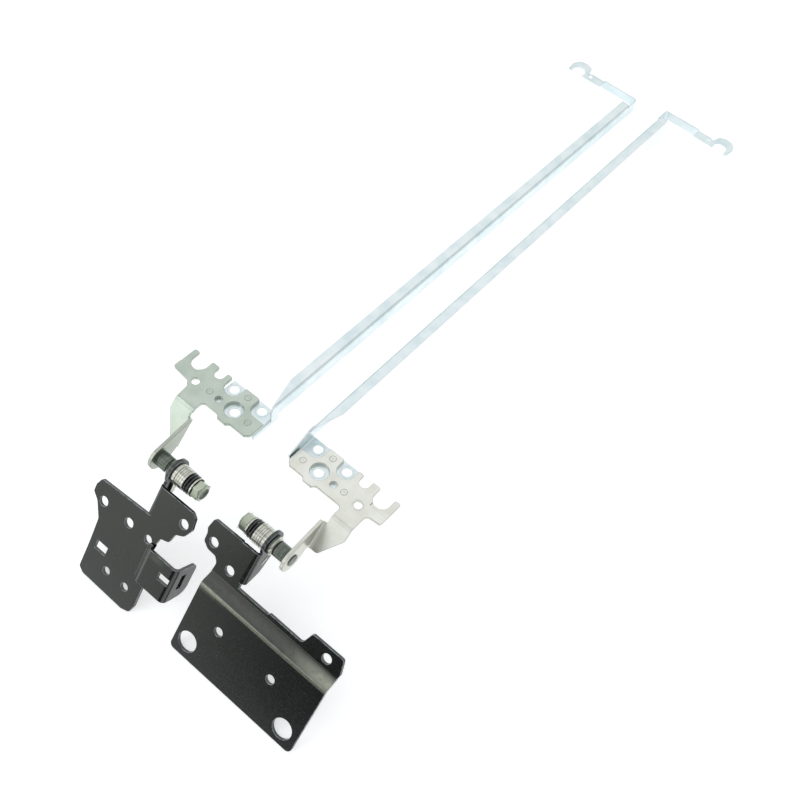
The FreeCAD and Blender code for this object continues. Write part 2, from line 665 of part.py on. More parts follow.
def backing_washer(hinge):
    """Thin washer under the nut."""
    piece = hinge.piece("backing_washer")
    start = clutch_places()["backing"]
    edges = [circle(0, 0, size("backing_r"))] + keyed_hole(size("seat_gap"))
    piece.across(edges, hinge.stack(start + size("backing_t")), "backing_t")
    return piece


def nut(hinge):
    """Hexagon nut with its outer corners turned off."""
    piece = hinge.piece("lock_nut")
    places = clutch_places()
    flat_r = size("nut_flats") / 2
    radius = flat_r / math.cos(math.radians(30))
    corners = [arc_point((0, 0), radius, 60 * k) for k in range(6)]
    edges = rounded([(corner.x, corner.y) for corner in corners])
    edges.append(circle(0, 0, size("journal_r") + size("seat_gap")))
    piece.across(edges, hinge.stack(places["nut_end"]), "nut_t")
    chamfer = size("nut_chamfer")
    cone = [(places["nut_end"] - chamfer, radius), (places["nut_end"], radius), (places["nut_end"], flat_r)]
    edges = rounded([(hinge.stack(distance), radial) for distance, radial in cone])
    sketch = piece.sketch("plan", edges, Vector())
    groove = piece.body.newObject("PartDesign::Groove", f"{piece.body.Name}_corners")
    groove.Profile = sketch
    groove.ReferenceAxis = (sketch, ["H_Axis"])
    groove.Angle = 360
    sketch.Visibility = False
    doc.recompute()
    return piece


KEY_SLOT = (-6.6, 0.2)  # middle of the slot for the stop washer's lug, in the side view


def key_slot(gap):
    """Sloping slot in the base ear, or the lug of the stop washer that sits in it."""
    turn = Rotation(Vector(0, 0, 1), size("key_slot_turn"))
    half, wide = size("key_slot_long") / 2 + gap, size("key_slot_wide") / 2 + gap
    corners = []
    for x, y in ((-half, -wide), (half, -wide), (half, wide), (-half, wide)):
        point = turn.multVec(Vector(x, y, 0)) + Vector(*KEY_SLOT, 0)
        corners.append((point.x, point.y))
    return rounded(corners)


def stop_washer(hinge):
    """Washer that an arm and a lug hold still against the base ear."""
    piece = hinge.piece("stop_washer")
    start = clutch_places()["stop_washer"]
    reach, half = size("key_arm"), size("key_wide") / 2
    far_side = hinge.stack(start + size("stop_washer_t"))
    piece.across([circle(0, 0, size("washer_r"))], far_side, "stop_washer_t")
    arm_edges = rounded([(0, -half), (0, half), (-reach, half * 0.7, 0.8), (-reach, -half, 0.8)])
    piece.across(arm_edges, hinge.stack(start + size("key_t")), "key_t")
    lug = hinge.stack(start + size("lug_root"))
    piece.across(key_slot(-size("lug_gap")), lug, "lug_root", "base_sheet", "lug_out")
    piece.across([circle(0, 0, size("journal_r") + size("fit_gap"))], far_side, "stop_washer_t", cut=True)
    return piece


# Base brackets

RIGHT_SCREWS = ((-21.0, -9.9), (-12.1, -14.1), (28.0, -15.0))
RIGHT_FOOT_HOLES = ((-4.7, -31.8), (17.1, -32.1))
RIGHT_BIG_HOLES = ((-12.4, -42.7), (28.0, -43.0))
LEFT_SCREWS = ((6.1, -22.9), (-5.3, -22.8), (-13.9, -22.7), (-22.6, -9.5))
LEFT_LOW_HOLES = ((-5.1, -43.1), (-13.4, -43.0))

# Rectangular openings of the left bracket: middle, then length and width, each in its own view
LEFT_WINDOW = ((0.1, -37.5), (4.6, 3.2))
TAB_WINDOW = ((-25.95, -27.95), (4.1, 2.5))
LIP_SLOT = ((-28.4, 3.0), (6.0, 2.2))


def box_outline(middle, extent):
    """Rectangle round a point."""
    (x, y), (half, rise) = middle, (extent[0] / 2, extent[1] / 2)
    return rounded([(x - half, y - rise), (x + half, y - rise), (x + half, y + rise), (x - half, y + rise)])


def base_ear(piece, hinge):
    """Ear bent down from the strip's outer edge, with the bearing hole and the key slot."""
    sheet_t, inside = size("base_sheet"), size("base_bend_in")
    outer_face = hinge.stack(size("base_ear_start"))
    inner_face = outer_face - sheet_t
    flat_start = inner_face - inside
    level = size("base_level")
    fold = level - sheet_t - inside
    lower = -size("base_ear_near")
    quarter = quarter_bend((flat_start, fold), inside, sheet_t, 1)
    piece.along(quarter, lower, "base_ear_near", f"-{hinge.name}_ear_top")
    radius = size("base_ear_r")
    crown = (-math.sqrt(radius ** 2 - fold ** 2), fold)
    elbow = (lower + size("ear_elbow"), fold - size("ear_elbow_deep"))
    touch = tangent(elbow, radius, True)
    start, end = math.atan2(crown[1], crown[0]), math.atan2(touch[1], touch[0])
    swing = (start - end) % (2 * math.pi)
    middle = arc_point((0, 0), radius, math.degrees(start - swing / 2))
    root = rounded([crown, touch, (*elbow, size("ear_elbow_r")), (lower, fold)])
    disc = [Part.Arc(Vector(*crown, 0), middle, Vector(*touch, 0))]
    straight = [edge for edge in root if not closes(edge, crown, touch)]
    piece.across(disc + straight, inner_face, "base_sheet")
    piece.across([circle(0, 0, size("journal_r") + size("fit_gap"))], inner_face, "base_sheet", cut=True)
    piece.across(key_slot(0), inner_face, "base_sheet", cut=True)


def closes(edge, first, second):
    """Whether an edge runs between two points."""
    start, end = edge.value(edge.FirstParameter), edge.value(edge.LastParameter)
    a, b = Vector(*first, 0), Vector(*second, 0)
    return (start - a).Length + (end - b).Length < 1e-5 or (start - b).Length + (end - a).Length < 1e-5


def right_base(hinge):
    """Right base bracket: screw strip with the ear, stepped up to a wide foot plate."""
    piece = hinge.piece("base_bracket")
    level, thick, step = size("base_level"), size("base_sheet"), size("base_step")
    upper, lower = -size("right_ear_top"), -size("base_ear_near")
    ear_edge = hinge.stack(size("base_ear_start")) - thick - size("base_bend_in")
    fold_start = -size("right_fold")
    fold_end = fold_start - step - size("right_fold_run")
    inner, outer = -size("right_inner"), size("right_outer")
    strip = rounded([
        (ear_edge, upper), (ear_edge, lower), (ear_edge + 0.5, lower - 0.2),
        (ear_edge + 0.5, fold_start + 1.3),
        (5.3, fold_start + 1.3), (5.9, fold_start + 1.9), (19.0, fold_start + 1.8, 1.6), (20.6, -11.5, 1.0),
        (32.8, -11.4, 1.2), (outer + 0.3, fold_start + 1.7, 1.0), (outer, fold_start), (inner, fold_start),
        (-17.2, -15.0, 1.6), (-18.6, -13.4, 1.0), (-22.0, -13.2, 1.8), (-24.3, -11.6, 1.2),
        (-24.4, -8.8, 1.0), (-25.1, -7.0, 1.0), (-24.2, upper, 1.2), (-12.6, upper + 0.2),
        (-12.4, upper - 0.2), (-11.6, upper),
    ])
    piece.plate(strip, level, "base_sheet")
    flat = 0.4
    riser = [(fold_start, level), (fold_start - flat, level)]
    riser += [(fold_end + flat / 2, level + step), (fold_end - 2 * flat, level + step)]
    profile = bent_sheet(riser, thick, size("base_bend_in"))
    piece.across(profile, inner, "right_inner", "right_outer")
    foot, corner = -size("right_foot_low"), size("foot_corner_r")
    plate_top = fold_end - 1.5 * flat
    plate = rounded([(inner, plate_top), (outer, plate_top), (outer, foot, corner), (inner, foot, corner)])
    piece.plate(plate, level + step, "base_sheet")
    base_ear(piece, hinge)
    piece.plate([circle(x, y, size("screw_r")) for x, y in RIGHT_SCREWS], level, "base_sheet", cut=True)
    holes = [circle(x, y, size("foot_hole_r")) for x, y in RIGHT_FOOT_HOLES]
    holes += [circle(x, y, size("foot_big_r")) for x, y in RIGHT_BIG_HOLES]
    piece.plate(holes, level + step, "base_sheet", cut=True)
    return piece


def left_base(hinge):
    """Left base bracket: flat screw plate with the ear, and a raised tab folded back to a lip."""
    piece = hinge.piece("base_bracket")
    level, thick, step = size("base_level"), size("base_sheet"), size("base_step")
    upper, lower = -size("left_ear_top"), -size("base_ear_near")
    ear_edge = hinge.stack(size("base_ear_start")) - thick - size("base_bend_in")
    foot = -size("left_foot_low")
    tab_x, tab_top, tab_low = -size("tab_edge"), -size("tab_top"), -size("tab_low")
    outline = rounded([
        (ear_edge, upper), (ear_edge, lower), (ear_edge + 0.6, lower - 0.3), (9.9, -16.7, 1.0),
        (11.1, -19.4, 0.8), (11.1, -22.2, 1.0), (8.5, -24.3, 1.5), (5.5, -29.3, 3.0), (5.0, -38.2, 2.0),
        (4.8, foot + 1.6, 1.0), (2.6, foot + 0.2, 1.0), (-15.4, foot, 1.6), (-18.6, foot + 1.0, 1.4),
        (-19.4, foot + 3.9, 1.5), (-19.2, tab_low - 1.6), (tab_x - 0.6, tab_low - 1.0), (tab_x, tab_low),
        (tab_x, tab_top), (tab_x - 1.0, tab_top + 0.3), (-17.6, -19.4, 0.8), (-20.6, -18.4, 1.0),
        (-21.4, -14.6, 1.6), (-24.4, -13.0, 1.8), (-26.0, -9.6, 1.6), (-25.4, upper - 1.2, 1.2),
        (-23.6, upper + 0.2, 1.2),
    ])
    piece.plate(outline, level, "base_sheet")

    # Tab: stepped up, run sideways with a window, and rolled over into a slotted lip
    lip = -size("lip_outer")
    high = level + step
    roll = size("lip_bend_in") + thick
    foot_of_step = tab_x - size("base_bend_in")
    ramp = foot_of_step - step * size("tab_slope")
    tab_line = [(tab_x, level), (foot_of_step, level), (ramp, high), (lip, high), (lip, high - roll)]
    insides = (size("base_bend_in"), size("base_bend_in"), size("lip_bend_in"))
    profile = bent_sheet(tab_line, thick, *insides)
    piece.along(profile, tab_low, "tab_low", "-tab_top")
    lip_low = high - size("lip_deep")
    leaf = rounded([
        (tab_top, high - roll), (tab_top, lip_low, 2.2), (tab_low + 0.8, lip_low, 5.0),
        (tab_low, high - roll),
    ])
    piece.across(leaf, lip, "base_sheet")
    piece.across(box_outline(*LIP_SLOT), lip, "base_sheet", cut=True)
    piece.plate(box_outline(*TAB_WINDOW), high, "base_sheet", "lip_bend_in", cut=True)

    base_ear(piece, hinge)
    holes = [circle(x, y, size("screw_r")) for x, y in LEFT_SCREWS]
    holes += [circle(x, y, size("left_low_hole_r")) for x, y in LEFT_LOW_HOLES]
    piece.plate(holes + box_outline(*LEFT_WINDOW), level, "base_sheet", cut=True)
    return piece


def check(objects):
    """Stop if any feature failed or any sub-part has no valid shape."""
    for item in doc.Objects:
        if "Invalid" in item.State or "Error" in item.State:
            raise RuntimeError(f"{item.Name} failed: {item.State}")
    for item in objects:
        if item.Shape.isNull() or not item.Shape.isValid():
            raise RuntimeError(f"{item.Label} has no valid shape")


def build(hinge):
    """All the sub-parts of one hinge, as (object, turns with the lid)."""
    lid = [arm(hinge).body, rail(hinge).body, shaft(hinge).body]
    lid += [toggle(hinge, number, x, y) for number, (x, y) in enumerate(TOGGLES, start=1)]
    lid += [friction_washer(hinge, number).body for number in (1, 2)]
    lid += [spring_washer(hinge, number).body for number in (1, 2)]
    lid += [backing_washer(hinge).body, nut(hinge).body]
    base = [(right_base(hinge) if hinge.side > 0 else left_base(hinge)).body, stop_washer(hinge).body]
    return lid, base


def centre(placed):
    """Offset that brings the middle of the pair's footprint to the origin."""
    box = FreeCAD.BoundBox()
    for item, place in placed:
        shape = item.Shape.copy()
        shape.Placement = place.multiply(shape.Placement)
        box.add(shape.optimalBoundingBox(False, False))
    return Vector(-(box.XMin + box.XMax) / 2, -(box.YMin + box.YMax) / 2, -box.ZMin)


placed = []
for hinge in (Hinge("left", -1), Hinge("right", 1)):
    lid, base = build(hinge)
    placed += [(item, hinge.lid_place()) for item in lid]
    placed += [(item, hinge.base_place()) for item in base]
doc.recompute()
shift = centre(placed)
for item, place in placed:
    item.Placement = Placement(place.Base + shift, place.Rotation).multiply(item.Placement)
doc.recompute()
pieces = [item for item, place in placed]
check(pieces)
print("origin shift", tuple(round(value, 4) for value in shift))
os.makedirs("parts", exist_ok=True)
for item in pieces:
    item.Shape.exportStep(f"parts/{item.Label}.step")
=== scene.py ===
"""Pair of laptop lid hinges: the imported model, dressed as the real parts look.

A piece with its own finish stands for each CAD node: a copy with rounded edges or, for a spring, a
turned one. Small pressed and turned forms are added: rings, rivet heads, a shoulder and the shaft's end.
"""

import json
import logging
import math
from collections.abc import Callable
from dataclasses import dataclass
from enum import Enum

import bmesh
import bpy
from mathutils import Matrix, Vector

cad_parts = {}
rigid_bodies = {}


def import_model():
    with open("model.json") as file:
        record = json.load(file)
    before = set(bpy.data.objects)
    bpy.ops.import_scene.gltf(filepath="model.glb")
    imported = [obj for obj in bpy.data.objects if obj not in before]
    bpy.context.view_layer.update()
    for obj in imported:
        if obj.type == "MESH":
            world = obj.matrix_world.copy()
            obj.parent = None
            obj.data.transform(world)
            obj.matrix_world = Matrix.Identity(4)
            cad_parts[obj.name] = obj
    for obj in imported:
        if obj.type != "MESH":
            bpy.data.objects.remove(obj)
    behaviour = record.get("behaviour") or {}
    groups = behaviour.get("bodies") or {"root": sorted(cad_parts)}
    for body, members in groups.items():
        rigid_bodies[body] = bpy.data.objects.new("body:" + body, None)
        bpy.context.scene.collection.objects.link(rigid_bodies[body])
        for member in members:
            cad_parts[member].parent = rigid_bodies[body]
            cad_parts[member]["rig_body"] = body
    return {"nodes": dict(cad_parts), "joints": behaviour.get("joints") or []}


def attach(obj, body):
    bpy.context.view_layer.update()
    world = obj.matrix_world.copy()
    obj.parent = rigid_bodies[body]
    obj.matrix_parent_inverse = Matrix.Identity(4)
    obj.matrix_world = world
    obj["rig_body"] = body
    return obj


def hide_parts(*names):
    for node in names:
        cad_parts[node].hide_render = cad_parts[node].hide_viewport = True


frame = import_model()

MM = 0.001
LOG = logging.getLogger("hinges")

# Vertices of a CAD mesh that lie nearer than this, in metres, are one vertex.
SAME_SPOT = 1e-6
# Neighbouring faces of a CAD mesh that turn by less than this are one face.
FLAT = math.radians(0.5)
# Edges that turn by more than this look sharp, on softened copies and on turned pieces.
SHARP_ON_COPY = math.radians(60)
SHARP_ON_TURNED = math.radians(40)
# Places of the colour sockets of a Mix node, which shares their names with its other kinds.
MIX_SHARE, MIX_FIRST, MIX_SECOND, MIX_RESULT = 0, 6, 7, 2

Colour = tuple[float, float, float]
Point = tuple[float, float, float]
Spot = tuple[float, float]
Span = tuple[float, float]


def linear(red: int, green: int, blue: int) -> Colour:
    """Turns a colour as a screen shows it into the shader's linear values.

    Args:
        red: Share of red, 0 to 255.
        green: Share of green.
        blue: Share of blue.

    Returns:
        The colour, 0 to 1.
    """
    def one(value: int) -> float:
        """Linear value of one share, by the curve of sRGB."""
        share = value / 255
        return share / 12.92 if share <= 0.04045 else ((share + 0.055) / 1.055) ** 2.4
    return one(red), one(green), one(blue)


class Side(Enum):
    """The two hinges of the pair; each value is how the name of its nodes starts."""

    LEFT = "left"
    RIGHT = "right"

    @property
    def sign(self) -> int:
        """Which way the hinge's own X points along the pair's X."""
        return 1 if self is Side.RIGHT else -1


class Part(Enum):
    """The two halves of a hinge, which lie at different slopes."""

    LID = "lid"
    BASE = "base"


@dataclass(frozen=True)
class Stance:
    """Where one hinge stands and how its halves slope at rest, in millimetres and degrees.

    A hinge is measured across, along its shaft; out, along the sheet away from the shaft; and up,
    square to the sheet. The fold is the turn from the lid half to the base half, and the arm's face is
    the place across of that face of the arm's ear from which the stack of washers starts.
    """

    side: Side
    lid_slope: float
    fold: float
    arm_face: float

    @property
    def axis(self) -> Vector:
        """Middle of the shaft in the plane that the hinge is measured from, in metres."""
        joint = next(j for j in frame["joints"] if j["name"] == f"{self.side.value}_hinge")
        return Vector(joint["pos_m"])

    def slope(self, part: Part) -> float:
        """Slope of a half, in radians."""
        return math.radians(self.lid_slope + (self.fold if part is Part.BASE else 0))

    def normal(self, part: Part) -> Vector:
        """Direction square to a half's sheet."""
        turn = self.slope(part)
        return Vector((0, -math.sin(turn), math.cos(turn)))

    def point(self, part: Part, across: float, out: float, up: float) -> Vector:
        """Place in the frame, in metres, of a place on a half, in millimetres."""
        c, s = math.cos(self.slope(part)), math.sin(self.slope(part))
        return self.axis + Vector((self.side.sign * across, out * c - up * s, out * s + up * c)) * MM

    def reshape(self, piece: bpy.types.Object, part: Part, move: Callable[[Vector], Vector]) -> None:
        """Moves a piece's vertices in a half's own measures.

        Args:
            piece: The piece.
            part: The half that it belongs to.
            move: Gives a vertex's new (across, out, up), in millimetres, from its old one.
        """
        c, s = math.cos(self.slope(part)), math.sin(self.slope(part))
        for vertex in piece.data.vertices:
            x, y, z = (vertex.co - self.axis) / MM
            placed = move(Vector((self.side.sign * x, y * c + z * s, z * c - y * s)))
            vertex.co = self.point(part, *placed)

    def stack(self, distance: float) -> float:
        """Place across of something that lies so far from the arm's ear towards the nut."""
        return self.arm_face - distance

    def node(self, name: str) -> str:
        """Name of one of this hinge's nodes, pieces or bodies."""
        return f"{self.side.value}_{name}"


# Objects and meshes


def linked(name: str, data: bpy.types.ID) -> bpy.types.Object:
    """Makes an object and links it to the scene.

    Args:
        name: Its name.
        data: Its mesh, lamp or camera.

    Returns:
        The object.
    """
    thing = bpy.data.objects.new(name, data)
    bpy.context.scene.collection.objects.link(thing)
    return thing


def aimed(name: str, data: bpy.types.ID, at: Point | Vector, to: Point | Vector) -> bpy.types.Object:
    """Makes a lamp or a camera that faces a point.

    Args:
        name: Its name.
        data: The lamp or camera.
        at: Its place, in metres.
        to: The point that it faces.

    Returns:
        The object.
    """
    thing = linked(name, data)
    thing.location = at
    thing.rotation_mode = "QUATERNION"
    thing.rotation_quaternion = (Vector(to) - thing.location).to_track_quat("-Z", "Y")
    return thing


def smoothed(name: str, shape: bmesh.types.BMesh, sharp: float) -> bpy.types.Mesh:
    """Turns a drawn shape into a mesh that looks smooth.

    Args:
        name: Name of the mesh.
        shape: The shape, which is freed.
        sharp: Turn, in radians, above which an edge looks sharp.

    Returns:
        The mesh.
    """
    for face in shape.faces:
        face.smooth = True
    mesh = bpy.data.meshes.new(name)
    shape.to_mesh(mesh)
    shape.free()
    mesh.set_sharp_from_angle(angle=sharp)
    return mesh


def report(piece: bpy.types.Object) -> None:
    """Logs a piece's name and its number of faces."""
    LOG.info("%s: %d faces", piece.name, len(piece.data.polygons))


# Node trees


class Socket:
    """An output of a node, on which sums are written as plain expressions."""

    def __init__(self, tree: "Tree", socket: bpy.types.NodeSocket) -> None:
        """Keeps the socket and the tree that it belongs to."""
        self.tree = tree
        self.socket = socket

    def _sum(self, operation: str, *terms: "Socket | float") -> "Socket":
        """Result of one Math node that works on the terms in order."""
        return self.tree.node("ShaderNodeMath", {"operation": operation}, dict(enumerate(terms)))

    def __add__(self, other: "Socket | float") -> "Socket":
        """Sum."""
        return self._sum("ADD", self, other)

    __radd__ = __add__

    def __sub__(self, other: "Socket | float") -> "Socket":
        """Difference."""
        return self._sum("SUBTRACT", self, other)

    def __rsub__(self, other: float) -> "Socket":
        """Difference, with the number first."""
        return self._sum("SUBTRACT", other, self)

    def __mul__(self, other: "Socket | float") -> "Socket":
        """Product."""
        return self._sum("MULTIPLY", self, other)

    __rmul__ = __mul__

    def __truediv__(self, other: "Socket | float") -> "Socket":
        """Quotient."""
        return self._sum("DIVIDE", self, other)

    def __rtruediv__(self, other: float) -> "Socket":
        """Quotient, with the number first."""
        return self._sum("DIVIDE", other, self)

    def clamped(self) -> "Socket":
        """The value, kept from 0 to 1."""
        return self.tree.node("ShaderNodeClamp", {}, {"Value": self})

    def size(self) -> "Socket":
        """The value without its sign."""
        return self._sum("ABSOLUTE", self)

    def stepped(self, low: float, high: float) -> "Socket":
        """Smooth step from 0 at low to 1 at high, which may be the lower number."""
        return self.tree.node("ShaderNodeMapRange", {"interpolation_type": "SMOOTHSTEP"},
                              {"Value": self, "From Min": low, "From Max": high})

    def near(self, middle: float, half: float, core: float) -> "Socket":
        """Soft band round a middle: 0 beyond half its width, and 1 within a core share of that half."""
        return (self - middle).size().stepped(half, half * core)


class Tree:
    """A node tree and the one way in which its nodes are added."""

    def __init__(self, tree: bpy.types.NodeTree) -> None:
        """Keeps the tree."""
        self.tree = tree

    def node(self, kind: str, settings: dict, inputs: dict, output: int | str = 0) -> Socket:
        """Adds a node.

        Args:
            kind: The node's type.
            settings: Its properties by name.
            inputs: A number, colour or Socket for each socket, by name or place.
            output: The output that is wanted, by name or place.

        Returns:
            The wanted output.
        """
        made = self.tree.nodes.new(kind)
        for name, setting in settings.items():
            setattr(made, name, setting)
        for key, value in inputs.items():
            self.feed(made.inputs[key], value)
        return Socket(self, made.outputs[output])

    def feed(self, socket: bpy.types.NodeSocket, value: "Socket | float | tuple | list") -> None:
        """Sets or links an input.

        Args:
            socket: The input.
            value: A number or colour that it is set to, or a Socket, or a list of them, that it takes.
        """
        if isinstance(value, list):
            for one in value:
                self.feed(socket, one)
        elif isinstance(value, Socket):
            self.tree.links.new(value.socket, socket)
        elif socket.type == "RGBA" and len(value) == 3:
            socket.default_value = (*value, 1.0)
        else:
            socket.default_value = value

    def along(self, at: Socket, axis: str) -> Socket:
        """One part of a vector, by its axis."""
        return self.node("ShaderNodeSeparateXYZ", {}, {"Vector": at}, axis)

    def mix(self, share: "Socket | float", first: "Socket | Colour", second: "Socket | Colour") -> Socket:
        """Mix of two colours, by the second one's share."""
        return self.node("ShaderNodeMix", {"data_type": "RGBA"},
                         {MIX_SHARE: share, MIX_FIRST: first, MIX_SECOND: second}, MIX_RESULT)


@dataclass(frozen=True)
class Noise:
    """Soft noise of so many waves to the millimetre, which a span cuts to patches."""

    scale: float
    detail: float = 3.0
    roughness: float = 0.5
    span: Span | None = None


@dataclass(frozen=True)
class Relief:
    """How far a grain seems to stand up, in millimetres, and how strongly that shows."""

    depth: float
    strength: float


class Shader(Tree):
    """A material of one Principled shader."""

    def __init__(self, name: str) -> None:
        """Makes the material.

        Args:
            name: Its name.
        """
        self.material = bpy.data.materials.new(name)
        self.material.use_nodes = True
        super().__init__(self.material.node_tree)
        self.surface = self.tree.nodes["Principled BSDF"]

    def set(self, **inputs: "Socket | float | tuple") -> None:
        """Sets the shader's own sockets; an underscore stands for a space."""
        for name, value in inputs.items():
            self.feed(self.surface.inputs[name.replace("_", " ")], value)

    def place(self, middle: Vector | Point = (0, 0, 0), slope: float = 0.0,
              stretch: Point = (1, 1, 1)) -> Socket:
        """Object coordinates, in millimetres.

        Args:
            middle: Where they start, in metres.
            slope: Turn about the shaft's direction, in radians.
            stretch: How much longer a pattern is along each axis.

        Returns:
            The coordinates.
        """
        spot = self.node("ShaderNodeTexCoord", {}, {}, "Object")
        scale = tuple(share * MM for share in stretch)
        return self.node(
            "ShaderNodeMapping", {"vector_type": "TEXTURE"},
            {"Vector": spot, "Location": tuple(middle), "Rotation": (slope, 0, 0), "Scale": scale})

    def noise(self, at: Socket, kind: Noise) -> Socket:
        """Noise of a kind at some coordinates, 0 to 1."""
        made = self.node("ShaderNodeTexNoise", {}, {"Vector": at, "Scale": kind.scale, "Detail": kind.detail,
                                                    "Roughness": kind.roughness})
        return made.stepped(*kind.span) if kind.span else made

    def bump(self, grain: Socket, relief: Relief) -> Socket:
        """Normal of a surface on which a grain of 0 to 1 stands up."""
        return self.node("ShaderNodeBump", {}, {"Height": grain, "Distance": relief.depth * MM,
                                                "Strength": relief.strength})


class Shaper(Tree):
    """A Geometry Nodes tree with named sizes, which turns points into a plain mesh."""

    ring_faces: int = 48
    bead_faces: int = 8
    dome_faces: int = 32
    dome_rings: int = 16

    def __init__(self, name: str, *sizes: str) -> None:
        """Makes the tree with its inputs: lengths in metres, a direction and a finish.

        Args:
            name: Its name.
            sizes: Names of its lengths.
        """
        super().__init__(bpy.data.node_groups.new(name, "GeometryNodeTree"))
        interface = self.tree.interface
        interface.new_socket("Geometry", in_out="INPUT", socket_type="NodeSocketGeometry")
        for size in sizes:
            interface.new_socket(size, in_out="INPUT", socket_type="NodeSocketFloat")
        interface.new_socket("Direction", in_out="INPUT", socket_type="NodeSocketVector")
        interface.new_socket("Finish", in_out="INPUT", socket_type="NodeSocketMaterial")
        interface.new_socket("Geometry", in_out="OUTPUT", socket_type="NodeSocketGeometry")
        self.given = self.tree.nodes.new("NodeGroupInput")
        self.result = self.tree.nodes.new("NodeGroupOutput")

    def input(self, name: str) -> Socket:
        """One of the tree's named inputs."""
        return Socket(self, self.given.outputs[name])

    def circle(self, faces: int, radius: Socket) -> Socket:
        """Circle of so many straight stretches."""
        return self.node("GeometryNodeCurvePrimitiveCircle", {}, {"Resolution": faces, "Radius": radius})

    def ring(self, radius: Socket, bead: Socket) -> Socket:
        """Round bead bent to a ring that lies flat, from the ring's radius and the bead's."""
        path, section = self.circle(self.ring_faces, radius), self.circle(self.bead_faces, bead)
        return self.node("GeometryNodeCurveToMesh", {}, {"Curve": path, "Profile Curve": section})

    def dome(self, radius: Socket, height: Socket) -> Socket:
        """Flattened round head.

        Args:
            radius: Its radius.
            height: How far it stands up.

        Returns:
            The head's mesh.
        """
        ball = self.node("GeometryNodeMeshUVSphere", {},
                         {"Segments": self.dome_faces, "Rings": self.dome_rings, "Radius": 1.0})
        scale = self.node("ShaderNodeCombineXYZ", {}, {"X": radius, "Y": radius, "Z": height})
        return self.node("GeometryNodeTransform", {}, {"Geometry": ball, "Scale": scale})

    def plant(self, shape: Socket) -> None:
        """Ends the tree: a shape on every point, turned to the direction, as one plain mesh.

        Args:
            shape: The shape, drawn upright.
        """
        turned = self.node("FunctionNodeAlignRotationToVector", {"axis": "Z"},
                           {"Vector": self.input("Direction")})
        spread = self.node("GeometryNodeInstanceOnPoints", {},
                           {"Points": self.input("Geometry"), "Instance": shape, "Rotation": turned})
        real = self.node("GeometryNodeRealizeInstances", {}, {"Geometry": spread})
        smooth = self.node("GeometryNodeSetShadeSmooth", {}, {"Geometry": real})
        made = self.node("GeometryNodeSetMaterial", {},
                         {"Geometry": smooth, "Material": self.input("Finish")})
        self.feed(self.result.inputs["Geometry"], made)

    def grow(self, name: str, points: list[Vector], body: str, finish: bpy.types.Material,
             direction: Vector, **sizes: float) -> bpy.types.Object:
        """Grows a piece on points.

        Args:
            name: Name of the piece.
            points: Where its copies stand, in metres.
            body: The CAD body that it moves with.
            finish: Its material.
            direction: Where each copy's top points.
            sizes: The tree's lengths by name, in millimetres; an underscore stands for a space.

        Returns:
            The piece, a plain mesh.
        """
        mesh = bpy.data.meshes.new(name)
        mesh.from_pydata(points, [], [])
        piece = linked(name, mesh)
        grown = piece.modifiers.new("grown", "NODES")
        grown.node_group = self.tree
        sockets = {s.name: s.identifier for s in self.tree.interface.items_tree if s.in_out == "INPUT"}
        for size, value in sizes.items():
            grown[sockets[size.replace("_", " ")]] = value * MM
        grown[sockets["Direction"]] = tuple(direction)
        grown[sockets["Finish"]] = finish
        depsgraph = bpy.context.evaluated_depsgraph_get()
        plain = bpy.data.meshes.new_from_object(piece.evaluated_get(depsgraph), depsgraph=depsgraph)
        piece.modifiers.remove(grown)
        piece.data = plain
        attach(piece, body)
        report(piece)
        return piece


def ring_shaper() -> Shaper:
    """Draws the tree that puts a round bead, bent to a ring, on every point.

    Returns:
        The tree.
    """
    tree = Shaper("bead_rings", "Radius", "Bead")
    tree.plant(tree.ring(tree.input("Radius"), tree.input("Bead")))
    return tree


def head_shaper() -> Shaper:
    """Draws the tree that puts a low rivet head with a small boss in its middle on every point.

    Returns:
        The tree.
    """
    tree = Shaper("rivet_heads", "Head", "Height", "Dot", "Dot Height")
    head = tree.dome(tree.input("Head"), tree.input("Height"))
    dot = tree.dome(tree.input("Dot"), tree.input("Dot Height"))
    tree.plant(tree.node("GeometryNodeJoinGeometry", {}, {"Geometry": [head, dot]}))
    return tree


# Finishes


@dataclass(frozen=True)
class GlintPatch:
    """A patch of painted highlight on a base bracket, drawn as bare steel, in the base half's own measures.
    """

    across: float
    half_across: float
    out: float
    half_out: float
    share: float
    core: float = 0.1

    def strength(self, across: Socket, out: Socket) -> Socket:
        """How strong the painted highlight is at a place on the bracket, 0 to 1."""
        wide = across.near(self.across, self.half_across, self.core)
        return wide * out.near(self.out, self.half_out, self.core) * self.share


